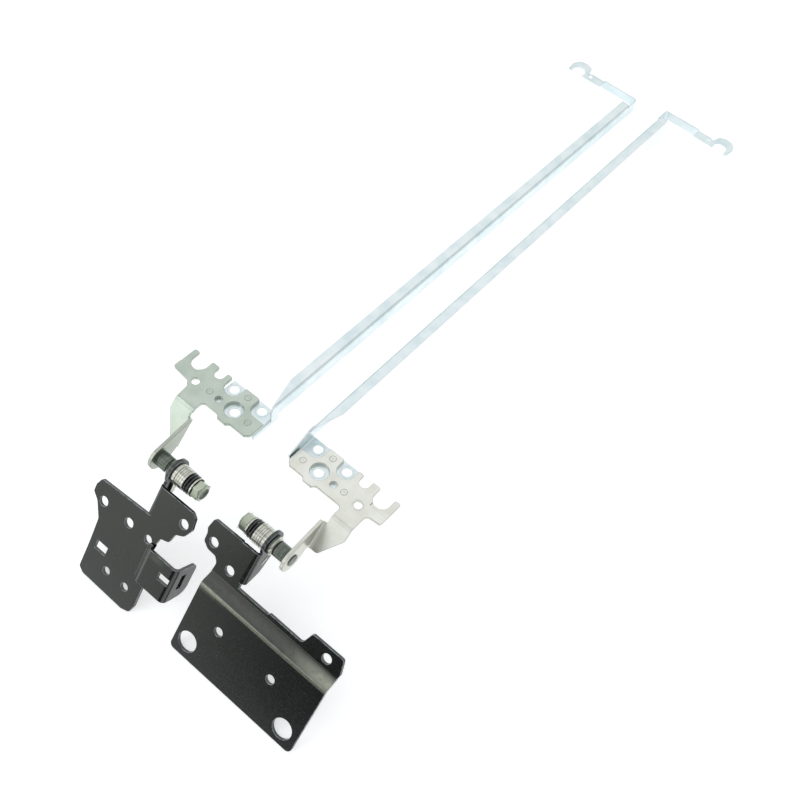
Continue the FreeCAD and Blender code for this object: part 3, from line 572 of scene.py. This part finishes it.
@dataclass(frozen=True)
class Coat:
    """Glossy dark coat on steel: a little blotched and dusty, with painted highlights in patches, drawn as
    bare steel.
    """

    name: str
    stance: Stance | None = None
    dark: Colour = linear(8, 10, 9)
    pale: Colour = linear(18, 22, 18)
    dust: Colour = linear(92, 96, 90)
    # Bare steel: the colour of the painted highlight patches.
    steel: Colour = linear(186, 190, 174)
    gloss: float = 0.11
    shine: float = 0.9
    glints: tuple[GlintPatch, ...] = ()
    blotches: Noise = Noise(0.07, span=(0.35, 0.7))
    grain: Noise = Noise(1.4, 3.0, 0.6)
    grain_rough: float = 0.12
    specks: Noise = Noise(2.6, 1.0, 0.4, (0.72, 0.8))
    speck_share: float = 0.3
    speck_rough: float = 0.2
    # Noise that breaks up the painted highlight patches, and the least strength that it leaves.
    glint_noise: Noise = Noise(0.35, 4.0, 0.6, (0.2, 0.6))
    least_glint: float = 0.5
    relief: Relief = Relief(0.012, 0.5)

    def material(self) -> bpy.types.Material:
        """Builds the material.

        Returns:
            The material.
        """
        s = Shader(self.name)
        at = s.place()
        grain, specks = s.noise(at, self.grain), s.noise(at, self.specks)
        coat = s.mix(s.noise(at, self.blotches), self.dark, self.pale)
        colour = s.mix(specks * self.speck_share, coat, self.dust)
        glint: Socket | float = 0.0
        # Painted highlights: patches along the bends mix to bare steel and turn metallic.
        if self.glints:
            turned = s.place(self.stance.axis, self.stance.slope(Part.BASE))
            across, out = s.along(turned, "X") * self.stance.side.sign, s.along(turned, "Y")
            glint_noise = s.noise(at, self.glint_noise) * (1 - self.least_glint) + self.least_glint
            glint = (sum(rub.strength(across, out) for rub in self.glints) * glint_noise).clamped()
            colour = s.mix(glint, colour, self.steel)
        rough = self.gloss + grain * self.grain_rough + specks * self.speck_rough
        s.set(Base_Color=colour, Roughness=rough.clamped(), Metallic=glint, Specular_IOR_Level=self.shine,
              Normal=s.bump(grain, self.relief))
        return s.material


@dataclass(frozen=True)
class Worn:
    """Steel that shows where a coat has rubbed through along an edge or a bend."""

    name: str
    bare: Colour
    coated: Colour
    rub: Noise = Noise(0.55, 4.0, 0.6, (0.3, 0.62))
    metal: float = 0.85
    rough: float = 0.3
    coat_rough: float = 0.15

    def material(self) -> bpy.types.Material:
        """Builds the material.

        Returns:
            The material.
        """
        s = Shader(self.name)
        rub = s.noise(s.place(), self.rub)
        s.set(Base_Color=s.mix(rub, self.coated, self.bare), Metallic=self.metal,
              Roughness=(self.rough + (1 - rub) * self.coat_rough).clamped())
        return s.material


@dataclass(frozen=True)
class Plate:
    """Bright plated steel: a tinted metal with rolling grain and faint clouds."""

    name: str
    pale: Colour
    deep: Colour
    rough: float = 0.32
    stretch: Point = (1, 1, 1)
    clouds: Noise = Noise(0.16, span=(0.3, 0.75))
    grain: Noise = Noise(2.2, 4.0, 0.6)
    grain_rough: float = 0.16
    relief: Relief = Relief(0.012, 0.45)

    def tint(self, s: Shader) -> Socket:
        """Clouded colour of the plating, in the material that is built."""
        return s.mix(s.noise(s.place(), self.clouds), self.pale, self.deep)

    def material(self) -> bpy.types.Material:
        """Builds the material.

        Returns:
            The material.
        """
        s = Shader(self.name)
        grain = s.noise(s.place(stretch=self.stretch), self.grain)
        s.set(Base_Color=self.tint(s), Metallic=1.0,
              Roughness=(self.rough + (grain - 0.5) * self.grain_rough).clamped(),
              Normal=s.bump(grain, self.relief))
        return s.material


@dataclass(frozen=True)
class ArmPlate(Plate):
    """Nickel of a lid arm, with painted shade that mixes it to brown-grey on the ear and in the corner
    beside it.

    The painted shade starts below plate_near and is full below ear_far, both measured out from the shaft. It
    is strongest within wing_near of the ear's face and weakest beyond wing_far from it.
    """

    stance: Stance | None = None
    # Brown-grey of the painted shade.
    corner_shade: Colour = linear(150, 140, 130)
    plate_near: float = 15.5
    ear_far: float = 9.0
    wing_far: float = 7.0
    wing_near: float = 0.6
    least: float = 0.25
    # Strength of the painted shade.
    share: float = 0.5

    def tint(self, s: Shader) -> Socket:
        """Clouded colour of the plating, with painted shade towards the ear.

        Args:
            s: The material that is built.

        Returns:
            The colour.
        """
        at = s.place(self.stance.axis, self.stance.slope(Part.LID))
        low = s.along(at, "Y").stepped(self.plate_near, self.ear_far)
        across, face = s.along(at, "X") * self.stance.side.sign, self.stance.arm_face
        inward = across.stepped(face + self.wing_far, face + self.wing_near)
        # Painted shade: brown-grey low on the wing and on the ear, most near the ear's face.
        corner = low * (inward * (1 - self.least) + self.least) * self.share
        return s.mix(corner, super().tint(s), self.corner_shade)


@dataclass(frozen=True)
class Turned:
    """Turned steel: fine tool lines round the shaft, and painted shade in dark bands, for gaps and a groove,
    at distances from the arm's ear.
    """

    name: str
    stance: Stance
    pale: Colour
    deep: Colour
    # Colour of the painted shade bands.
    shaded_gap: Colour = linear(92, 96, 88)
    shaded_gaps: tuple[float, ...] = ()
    half_shaded_gap: float = 0.1
    shaded_gap_core: float = 0.4
    lines: float = 5.0
    tool: Noise = Noise(1.0, 3.0, 0.7)
    tool_share: float = 0.7
    tool_rough: float = 0.12
    clouds: Noise = Noise(0.6)
    blend: Span = (0.3, 0.7)
    rough: float = 0.17
    relief: Relief = Relief(0.03, 0.6)

    def material(self) -> bpy.types.Material:
        """Builds the material.

        Returns:
            The material.
        """
        s = Shader(self.name)
        at = s.place(self.stance.axis)
        across = s.along(at, "X") * self.stance.side.sign
        tool = s.noise(s.node("ShaderNodeCombineXYZ", {}, {"X": across * self.lines}), self.tool)
        lit = tool * self.tool_share + s.noise(at, self.clouds) * (1 - self.tool_share)
        colour = s.mix(lit.stepped(*self.blend), self.deep, self.pale)
        # Painted shade: dark bands where gaps and the shaft's groove would lie in shadow.
        if self.shaded_gaps:
            dark = sum(across.near(self.stance.stack(distance), self.half_shaded_gap, self.shaded_gap_core)
                       for distance in self.shaded_gaps)
            colour = s.mix(dark.clamped(), colour, self.shaded_gap)
        s.set(Base_Color=colour, Metallic=1.0, Roughness=(self.rough + tool * self.tool_rough).clamped(),
              Normal=s.bump(tool, self.relief))
        return s.material


# Softened and turned pieces


@dataclass(frozen=True)
class Softened:
    """How a copy of a CAD node gets its small rounded edges, in millimetres and degrees."""

    width: float
    segments: int = 2
    angle: float = 30.0

    def copy(self, node: str, finish: bpy.types.Material,
             edge: bpy.types.Material | None = None) -> bpy.types.Object:
        """Makes a merged copy of a CAD node with rounded edges, which stands for it.

        Args:
            node: The CAD node.
            finish: Its material.
            edge: Material of the rounded edges, where they differ.

        Returns:
            The new piece, riding on the node's body.
        """
        source = frame["nodes"][node]
        shape = bmesh.new()
        shape.from_mesh(source.data)
        bmesh.ops.remove_doubles(shape, verts=shape.verts, dist=SAME_SPOT)
        bmesh.ops.dissolve_limit(shape, angle_limit=FLAT, verts=shape.verts, edges=shape.edges)
        mesh = smoothed(f"{node}_skin", shape, SHARP_ON_COPY)
        mesh.materials.clear()
        mesh.materials.append(finish)
        piece = linked(f"{node}_skin", mesh)
        bevel = piece.modifiers.new("edges", "BEVEL")
        bevel.width = self.width * MM
        bevel.segments = self.segments
        bevel.limit_method = "ANGLE"
        bevel.angle_limit = math.radians(self.angle)
        bevel.use_clamp_overlap = False
        if edge:
            mesh.materials.append(edge)
            bevel.material = len(mesh.materials) - 1
        weigh = piece.modifiers.new("normals", "WEIGHTED_NORMAL")
        weigh.keep_sharp = True
        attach(piece, source["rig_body"])
        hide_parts(node)
        report(piece)
        return piece


def lathe(name: str, stance: Stance, profile: list[Spot], body: str, finish: bpy.types.Material,
          segments: int = 48) -> bpy.types.Object:
    """Turns a closed outline round a hinge's shaft.

    Args:
        name: Name of the piece.
        stance: The hinge.
        profile: (place across, radius) points in millimetres, from the axis out and back to it.
        body: The CAD body that the piece moves with.
        finish: Its material.
        segments: Faces round the shaft.

    Returns:
        The piece.
    """
    shape = bmesh.new()
    rings = []
    for across, radius in profile:
        middle = stance.point(Part.LID, across, 0, 0)
        count = segments if radius > 0 else 1
        angles = [2 * math.pi * k / segments for k in range(count)]
        rings.append([shape.verts.new(middle + Vector((0, math.cos(a), math.sin(a))) * radius * MM)
                      for a in angles])
    for first, second in zip(rings, rings[1:]):
        for k in range(segments):
            n = (k + 1) % segments
            corners = [first[k % len(first)], first[n % len(first)], second[n % len(second)],
                       second[k % len(second)]]
            shape.faces.new(list(dict.fromkeys(corners)))
    bmesh.ops.recalc_face_normals(shape, faces=shape.faces)
    mesh = smoothed(name, shape, SHARP_ON_TURNED)
    mesh.materials.append(finish)
    piece = linked(name, mesh)
    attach(piece, body)
    report(piece)
    return piece


# Sub-assemblies


@dataclass
class BaseBracket:
    """Black base bracket, with painted highlights along the bends that stand out, drawn as bare steel.

    On the left one, the notch and the screw hole beside the raised tab are drawn apart: the hole's rim
    is drawn in, and the notch's corner moves away from it.
    """

    stance: Stance
    edge: bpy.types.Material
    edges: Softened = Softened(0.13, angle=28.0)
    # Painted highlights: on the right foot's bends, and on the left bracket's tab.
    foot_glints: tuple[GlintPatch, ...] = (
        GlintPatch(3, 60, -22.3, 0.9, 0.95), GlintPatch(3, 60, -20.2, 2.4, 0.13), GlintPatch(3, 60, -18.1, 0.3, 0.3),
        GlintPatch(36, 22, -20.4, 2.6, 0.8), GlintPatch(-24, 22, -22.6, 1.9, 0.35))
    tab_glints: tuple[GlintPatch, ...] = (GlintPatch(-16.0, 0.8, -28.5, 7.5, 0.25), GlintPatch(-21.0, 4.0, -24.0, 1.6, 0.12))
    hole: Spot = (-13.9, -22.7)
    hole_radius: float = 1.7
    rim_reach: float = 0.02
    drawn_in: float = 0.86
    hole_shift: float = 0.12
    notch: Spot = (-15.6, -22.3)
    notch_reach: float = 0.35
    notch_shift: Point = (-1.2, -0.05, 0)

    def build(self) -> None:
        """Dresses the bracket."""
        right = self.stance.side is Side.RIGHT
        coat = Coat(self.stance.node("black_coat"), self.stance,
                    glints=self.foot_glints if right else self.tab_glints).material()
        piece = self.edges.copy(self.stance.node("base_bracket"), coat, self.edge)
        if not right:
            self.stance.reshape(piece, Part.BASE, self._clear_hole)

    def _clear_hole(self, place: Vector) -> Vector:
        """Draws the notch and the screw hole beside it apart.

        Args:
            place: A vertex's (across, out, up).

        Returns:
            Its new place.
        """
        hole = Vector(self.hole)
        if abs((place.xy - hole).length - self.hole_radius) < self.rim_reach:
            drawn = hole + (place.xy - hole) * self.drawn_in
            return Vector((drawn.x + self.hole_shift, drawn.y, place.z))
        beside = (place.xy - Vector(self.notch)).length < self.notch_reach
        return place + Vector(self.notch_shift) if beside else place


@dataclass
class LidArm:
    """Nickel-plated lid arm.

    The right one has a raised ring round its outer screw hole. On the left one, the round corner between
    neck and plate moves away from that hole; the hole itself and what lies under the plate stay.
    """

    stance: Stance
    nickel: bpy.types.Material
    edge: bpy.types.Material
    rings: Shaper
    edges: Softened = Softened(0.09, angle=28.0)
    face: float = 7.75
    plate_under: float = 6.0
    outer_hole: Spot = (6.4, 23.9)
    hole_reach: float = 1.5
    corner: Spot = (7.6, 22.0)
    corner_reach: float = 1.5
    corner_full: float = 0.5
    corner_shift: Point = (0.75, -0.75, 0)
    ring_radius: float = 1.85
    ring_bead: float = 0.12
    ring_sunk: float = 0.06

    def build(self) -> None:
        """Dresses the arm and adds the ring."""
        piece = self.edges.copy(self.stance.node("lid_arm"), self.nickel, self.edge)
        if self.stance.side is Side.LEFT:
            self.stance.reshape(piece, Part.LID, self._widen_corner)
        else:
            spot = self.stance.point(Part.LID, *self.outer_hole, self.face - self.ring_sunk)
            ring = self.rings.grow(self.stance.node("arm_hole_ring"), [spot], self.stance.node("lid"),
                                   self.nickel, self.stance.normal(Part.LID),
                                   Radius=self.ring_radius, Bead=self.ring_bead)

    def _widen_corner(self, place: Vector) -> Vector:
        """Moves the round corner away from the outer hole, in full up to a share of its reach.

        Args:
            place: A vertex's (across, out, up).

        Returns:
            Its new place.
        """
        in_hole = (place.xy - Vector(self.outer_hole)).length < self.hole_reach
        if place.z < self.plate_under or in_hole:
            return place
        near = max(0.0, 1 - (place.xy - Vector(self.corner)).length / self.corner_reach)
        return place + Vector(self.corner_shift) * min(1.0, near / (1 - self.corner_full))


@dataclass
class LidRail:
    """Zinc-plated lid rail, with pressed collars round its tab's holes and the rivets that hold it."""

    stance: Stance
    zinc: bpy.types.Material
    edge: bpy.types.Material
    nickel: bpy.types.Material
    rings: Shaper
    heads: Shaper
    edges: Softened = Softened(0.04, angle=28.0)
    shanks: Softened = Softened(0.05)
    tab_face: float = 6.55
    arm_face: float = 7.75
    under_face: float = 5.95
    tab_holes: tuple[Spot, ...] = ((-10.2, 24.6), (-4.0, 30.7), (-16.0, 30.7))
    rivets: tuple[Spot, ...] = ((0.4, 24.2), (-9.9, 30.7), (-16.3, 24.0))
    collar_radius: float = 2.15
    collar_bead: float = 0.13
    collar_sunk: float = 0.05
    head_radius: float = 1.02
    head_height: float = 0.12
    dot_radius: float = 0.42
    dot_height: float = 0.24
    shank_sunk: float = 0.02

    def build(self) -> None:
        """Dresses the rail and its rivets, and adds the collars and the rivets' heads."""
        rail = self.edges.copy(self.stance.node("lid_rail"), self.zinc, self.edge)
        body, up = self.stance.node("lid"), self.stance.normal(Part.LID)
        level = self.tab_face - self.collar_sunk
        spots = [self.stance.point(Part.LID, *hole, level) for hole in self.tab_holes]
        collars = self.rings.grow(self.stance.node("tab_collars"), spots, body, self.zinc, up,
                                  Radius=self.collar_radius, Bead=self.collar_bead)
        for number in range(1, len(self.rivets) + 1):
            shank = self.shanks.copy(self.stance.node(f"rail_rivet_{number}"), self.nickel)
            self.stance.reshape(shank, Part.LID, self._sink)
        for name, level, way in (("upper", self.arm_face, 1), ("lower", self.under_face, -1)):
            spots = [self.stance.point(Part.LID, *rivet, level) for rivet in self.rivets]
            heads = self.heads.grow(self.stance.node(f"{name}_rivet_heads"), spots, body, self.nickel,
                                    up * way, Head=self.head_radius, Height=self.head_height,
                                    Dot=self.dot_radius, Dot_Height=self.dot_height)

    def _sink(self, place: Vector) -> Vector:
        """Lowers a shank's ends under its pressed heads."""
        up = min(max(place.z, self.under_face + self.shank_sunk), self.arm_face - self.shank_sunk)
        return Vector((place.x, place.y, up))


@dataclass
class Clutch:
    """Friction clutch: shaft, washers, springs and nut, from the arm's ear to the shaft's end.

    Places along the stack are distances from the arm's ear. The outlines of turned pieces are (distance,
    radius) points from the place that their names tell: the ear, the nut's outer face or the shaft's
    end.
    """

    stance: Stance
    rings: Shaper
    blued: bpy.types.Material
    nut: bpy.types.Material
    washers: Softened = Softened(0.16, 3)
    small: Softened = Softened(0.12, 3)
    bright: Colour = linear(230, 230, 221)
    grey: Colour = linear(146, 147, 136)
    shaft_radius: float = 2.65
    first_tool_ring: float = 0.7
    tool_ring_pitch: float = 0.55
    tool_ring_count: int = 7
    tool_ring_bead: float = 0.06
    shoulder_from_ear: tuple[Spot, ...] = (
        (4.85, 2.6), (4.85, 2.72), (5.0, 2.95), (5.45, 3.3), (5.62, 3.42), (5.62, 2.6), (4.85, 2.6))
    shaft_shade_at: float = 4.55
    half_shaft_shade: float = 0.32
    friction_at: float = 9.2
    # Painted shade lines on the friction washers, at these distances from friction_at.
    friction_gaps: Span = (0.82, 2.48)
    turning_gap: float = 0.03
    spring_at: float = 12.5
    spring_bore: float = 1.95
    spring_depth: float = 0.7
    spring_back: float = 0.72
    rim: float = 0.33
    rim_radius: float = 3.12
    rim_faces: int = 8
    backing_at: float = 15.0
    # Painted shadow on the backing washer's face where the nut sits.
    backing_gap_at: float = 15.75
    half_backing_gap: float = 0.2
    nut_end: float = 18.4
    collar_from_nut: tuple[Spot, ...] = (
        (-0.3, 1.92), (0.32, 1.92), (0.42, 2.02), (0.42, 2.16), (0.3, 2.36), (-0.02, 2.56), (-0.3, 2.56),
        (-0.3, 1.92))
    shaft_end: float = 18.7
    end_sunk: float = 0.5
    hollow_from_end: tuple[Spot, ...] = (
        (-0.9, 0), (-0.9, 1.75), (-0.14, 1.75), (-0.02, 1.68), (0, 1.55), (-0.04, 1.44), (-0.3, 1.3),
        (-0.38, 1.1), (-0.34, 0.6), (-0.32, 0))

    def build(self) -> None:
        """Dresses the stack and adds the shaft's rings, shoulder and end, and the nut's collar."""
        node = self.stance.node
        # The dark colours given below for gaps are painted shade: the shaft's groove, lines on the friction
        # washers, and the backing washer's face by the nut.
        steel = Turned(node("shaft_steel"), self.stance, linear(136, 144, 134), linear(66, 72, 66),
                       shaded_gap=linear(26, 28, 26), shaded_gaps=(self.shaft_shade_at,), half_shaded_gap=self.half_shaft_shade,
                       lines=3.0, rough=0.2).material()
        shaded_gaps = tuple(self.friction_at + shaded_gap for shaded_gap in self.friction_gaps)
        silver = Turned(node("washer_steel"), self.stance, self.bright, self.grey, shaded_gaps=shaded_gaps,
                        lines=3.0).material()
        plain = Turned(node("backing_steel"), self.stance, self.bright, self.grey, shaded_gap=linear(60, 68, 60),
                       shaded_gaps=(self.backing_gap_at,), half_shaded_gap=self.half_backing_gap).material()
        shaft = self._dress("pivot_shaft", self.small, steel)
        self.stance.reshape(shaft, Part.LID, self._sink_end)
        self._dress("stop_washer", self.washers, silver)
        for number in (1, 2):
            washer = self._dress(f"friction_washer_{number}", self.washers, silver)
            self.stance.reshape(washer, Part.LID, self._part_faces)
            self._spring(number)
        self._dress("backing_washer", self.washers, plain)
        self._dress("lock_nut", self.small, self.nut)
        self._tool_rings(steel)
        self._turned("shaft_shoulder", plain, 0.0, self.shoulder_from_ear)
        self._turned("shaft_end_rim", steel, self.shaft_end, self.hollow_from_end)
        self._turned("nut_collar", self.nut, self.nut_end, self.collar_from_nut)

    def _dress(self, name: str, edges: Softened, finish: bpy.types.Material) -> bpy.types.Object:
        """Softens one node of the stack, named without its side."""
        return edges.copy(self.stance.node(name), finish)

    def _turned(self, name: str, finish: bpy.types.Material, start: float,
                outline: tuple[Spot, ...], way: int = 1) -> bpy.types.Object:
        """Turns one piece of the stack.

        Args:
            name: The piece without its side.
            finish: Its material.
            start: Distance from the arm's ear that the outline is measured from.
            outline: (distance, radius) points of its closed outline.
            way: 1 where the outline runs towards the nut, and -1 where it runs back.

        Returns:
            The piece.
        """
        profile = [(self.stance.stack(start + way * distance), radius) for distance, radius in outline]
        piece = lathe(self.stance.node(name), self.stance, profile, self.stance.node("lid"), finish)
        return piece

    def _spring(self, number: int) -> None:
        """Adds a conical spring washer with a rounded rim; the two stand mouth to mouth.

        Args:
            number: 1 for the spring at the friction washers, 2 for the one at the backing washer.
        """
        turns = [math.pi * (1 - k / self.rim_faces) for k in range(self.rim_faces + 1)]
        rim = [(self.spring_depth + self.rim * math.cos(a), self.rim_radius + self.rim * math.sin(a))
               for a in turns]
        bore = (0.0, self.spring_bore)
        cone = (bore, *rim, (self.spring_back, self.spring_bore), bore)
        start, way = (self.spring_at, 1) if number == 1 else (self.backing_at, -1)
        piece = self._turned(f"spring_washer_{number}_skin", self.blued, start, cone, way)
        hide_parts(self.stance.node(f"spring_washer_{number}"))

    def _part_faces(self, place: Vector) -> Vector:
        """Leaves a hair's space where the first friction washer turns against the stop washer."""
        return Vector((min(place.x, self.stance.stack(self.friction_at + self.turning_gap)), *place.yz))

    def _sink_end(self, place: Vector) -> Vector:
        """Lowers the shaft's end face under the hollow that is turned into it."""
        sunk = place.x < self.stance.stack(self.nut_end)
        return Vector((self.stance.stack(self.nut_end - self.end_sunk), *place.yz)) if sunk else place

    def _tool_rings(self, steel: bpy.types.Material) -> None:
        """Adds the fine raised rings that turning left on the shaft's thick end.

        Args:
            steel: The shaft's material.
        """
        places = [self.first_tool_ring + self.tool_ring_pitch * k for k in range(self.tool_ring_count)]
        spots = [self.stance.point(Part.LID, self.stance.stack(d), 0, 0) for d in places]
        rings = self.rings.grow(self.stance.node("shaft_tool_rings"), spots, self.stance.node("lid"), steel,
                                Vector((1, 0, 0)), Radius=self.shaft_radius, Bead=self.tool_ring_bead)


# Floor, light and camera


@dataclass(frozen=True)
class Lamp:
    """Square soft lamp: its place and the point that it faces, its side in metres, its power in watts."""

    name: str
    at: Point
    to: Point
    wide: float
    power: float

    def build(self) -> None:
        """Adds the lamp."""
        lamp = bpy.data.lights.new(self.name, "AREA")
        lamp.size = self.wide
        lamp.energy = self.power
        aimed(self.name, lamp, self.at, self.to)


@dataclass
class Stage:
    """Floor, world, lamps and the camera at the photograph's angle.

    The camera's places are in millimetres. The parts of a direction, east, north and up, run from -1 to
    1, and a span of them goes from where its effect starts to where it is full: rise, from the horizon's
    colour to the zenith's, and three spans that together bound the dark side.
    """

    camera_at: Point = (113.95, -162.834, 340.29)
    looks_at: Point = (-0.895, -28.049, 1.03)
    lens: float = 49.25
    sensor: float = 36.0
    clip: Span = (0.01, 20.0)
    lamps: tuple[Lamp, ...] = (
        Lamp("overhead", (-0.5, 1.1, 1.5), (0, 0.02, 0), 2.2, 5.4),
        Lamp("near_left", (-0.76, -1.14, 0.63), (0, -0.08, 0), 0.8, 2.1),
        Lamp("key", (-0.67, -0.55, 1.12), (0, -0.06, 0), 0.5, 1.0))
    floor_half: float = 3.0
    floor_colour: Colour = (0.86, 0.87, 0.885)
    floor_rough: float = 0.9
    floor_glow: Colour = (0.5, 0.5, 0.5)
    horizon: Colour = (0.74, 0.81, 0.74)
    zenith: Colour = (0.64, 0.65, 0.66)
    rise: Span = (0.1, 0.5)
    dark: Colour = (0.015, 0.015, 0.016)
    dark_east: Span = (-0.4, -0.22)
    dark_north: Span = (-0.2, -0.6)
    dark_up: Span = (0.3, 0.14)

    def build(self) -> None:
        """Makes everything round the object."""
        self._floor()
        self._world()
        for lamp in self.lamps:
            lamp.build()
        self._camera()
        bpy.context.scene.view_settings.view_transform = "Standard"
        LOG.info("stage: floor, world, %d lamps and the camera", len(self.lamps))

    def _camera(self) -> None:
        """Camera at the photograph's angle."""
        lens = bpy.data.cameras.new("camera")
        lens.lens = self.lens
        lens.sensor_width = self.sensor
        lens.clip_start, lens.clip_end = self.clip
        bpy.context.scene.camera = aimed("camera", lens, Vector(self.camera_at) * MM,
                                         Vector(self.looks_at) * MM)

    def _seen(self, tree: Tree) -> Socket:
        """Whether a ray comes from the camera, or from a surface that mirrors or lets through."""
        seen = [tree.node("ShaderNodeLightPath", {}, {}, f"Is {kind} Ray")
                for kind in ("Camera", "Glossy", "Transmission")]
        return sum(seen).clamped()

    def _floor(self) -> None:
        """Pale floor that keeps a soft shadow, and glows for the camera and metal so that it shows white."""
        half = self.floor_half
        corners = [(-half, -half, 0), (half, -half, 0), (half, half, 0), (-half, half, 0)]
        mesh = bpy.data.meshes.new("floor")
        mesh.from_pydata(corners, [], [(0, 1, 2, 3)])
        floor = linked("floor", mesh)
        s = Shader("floor")
        s.set(Base_Color=self.floor_colour, Roughness=self.floor_rough, Specular_IOR_Level=0.0,
              Emission_Color=s.mix(self._seen(s), (0, 0, 0), self.floor_glow), Emission_Strength=1.0)
        mesh.materials.append(s.material)

    def _world(self) -> None:
        """Surroundings that the camera sees white, and metal grey and dark low down on the near side."""
        world = bpy.data.worlds.new("studio")
        world.use_nodes = True
        bpy.context.scene.world = world
        tree = Tree(world.node_tree)
        way = tree.node("ShaderNodeTexCoord", {}, {}, "Generated")
        east, north, up = (tree.along(way, axis) for axis in "XYZ")
        sky = tree.mix(up.stepped(*self.rise), self.horizon, self.zenith)
        near = east.stepped(*self.dark_east) * north.stepped(*self.dark_north) * up.stepped(*self.dark_up)
        shaded = tree.mix(near, sky, self.dark)
        camera = tree.node("ShaderNodeLightPath", {}, {}, "Is Camera Ray")
        tree.feed(world.node_tree.nodes["Background"].inputs["Color"], tree.mix(camera, shaded, (1, 1, 1)))


def main() -> None:
    """Builds every sub-assembly in order and reports each piece."""
    logging.basicConfig(level=logging.INFO, format="%(message)s")
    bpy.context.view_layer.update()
    left = Stance(Side.LEFT, lid_slope=-9.71, fold=55.9, arm_face=-2.8)
    right = Stance(Side.RIGHT, lid_slope=-8.881, fold=55.15, arm_face=0.8)
    rubbed = Worn("rubbed_edge", linear(150, 163, 168), linear(72, 78, 77)).material()
    zinc = Plate("zinc_plate", linear(233, 241, 243), linear(214, 228, 231), rough=0.3,
                 stretch=(1, 8, 1)).material()
    cut = Worn("cut_edge", linear(206, 212, 210), linear(160, 166, 164)).material()
    # Each arm's share is the strength of the painted shade on its ear and in its corner.
    nickel = {
        left: ArmPlate("left_nickel", linear(196, 206, 196), linear(182, 194, 182), stance=left,
                       share=0.3).material(),
        right: ArmPlate("right_nickel", linear(234, 235, 228), linear(220, 221, 211), stance=right,
                        share=0.2).material(),
    }
    sheared = Worn("sheared_edge", linear(170, 168, 156), linear(110, 106, 96)).material()
    blued = Coat("blued_steel", dark=linear(10, 11, 18), pale=linear(20, 23, 34), dust=linear(40, 44, 54),
                 gloss=0.1, shine=1.0).material()
    nut = Plate("nut_plate", linear(188, 195, 178), linear(164, 172, 154), rough=0.3).material()
    rings, heads = ring_shaper(), head_shaper()
    for stance in (left, right):
        BaseBracket(stance, rubbed).build()
        LidArm(stance, nickel[stance], sheared, rings).build()
        LidRail(stance, zinc, cut, nickel[stance], rings, heads).build()
        Clutch(stance, rings, blued, nut).build()
    Stage().build()


if __name__ == "__main__":
    main()
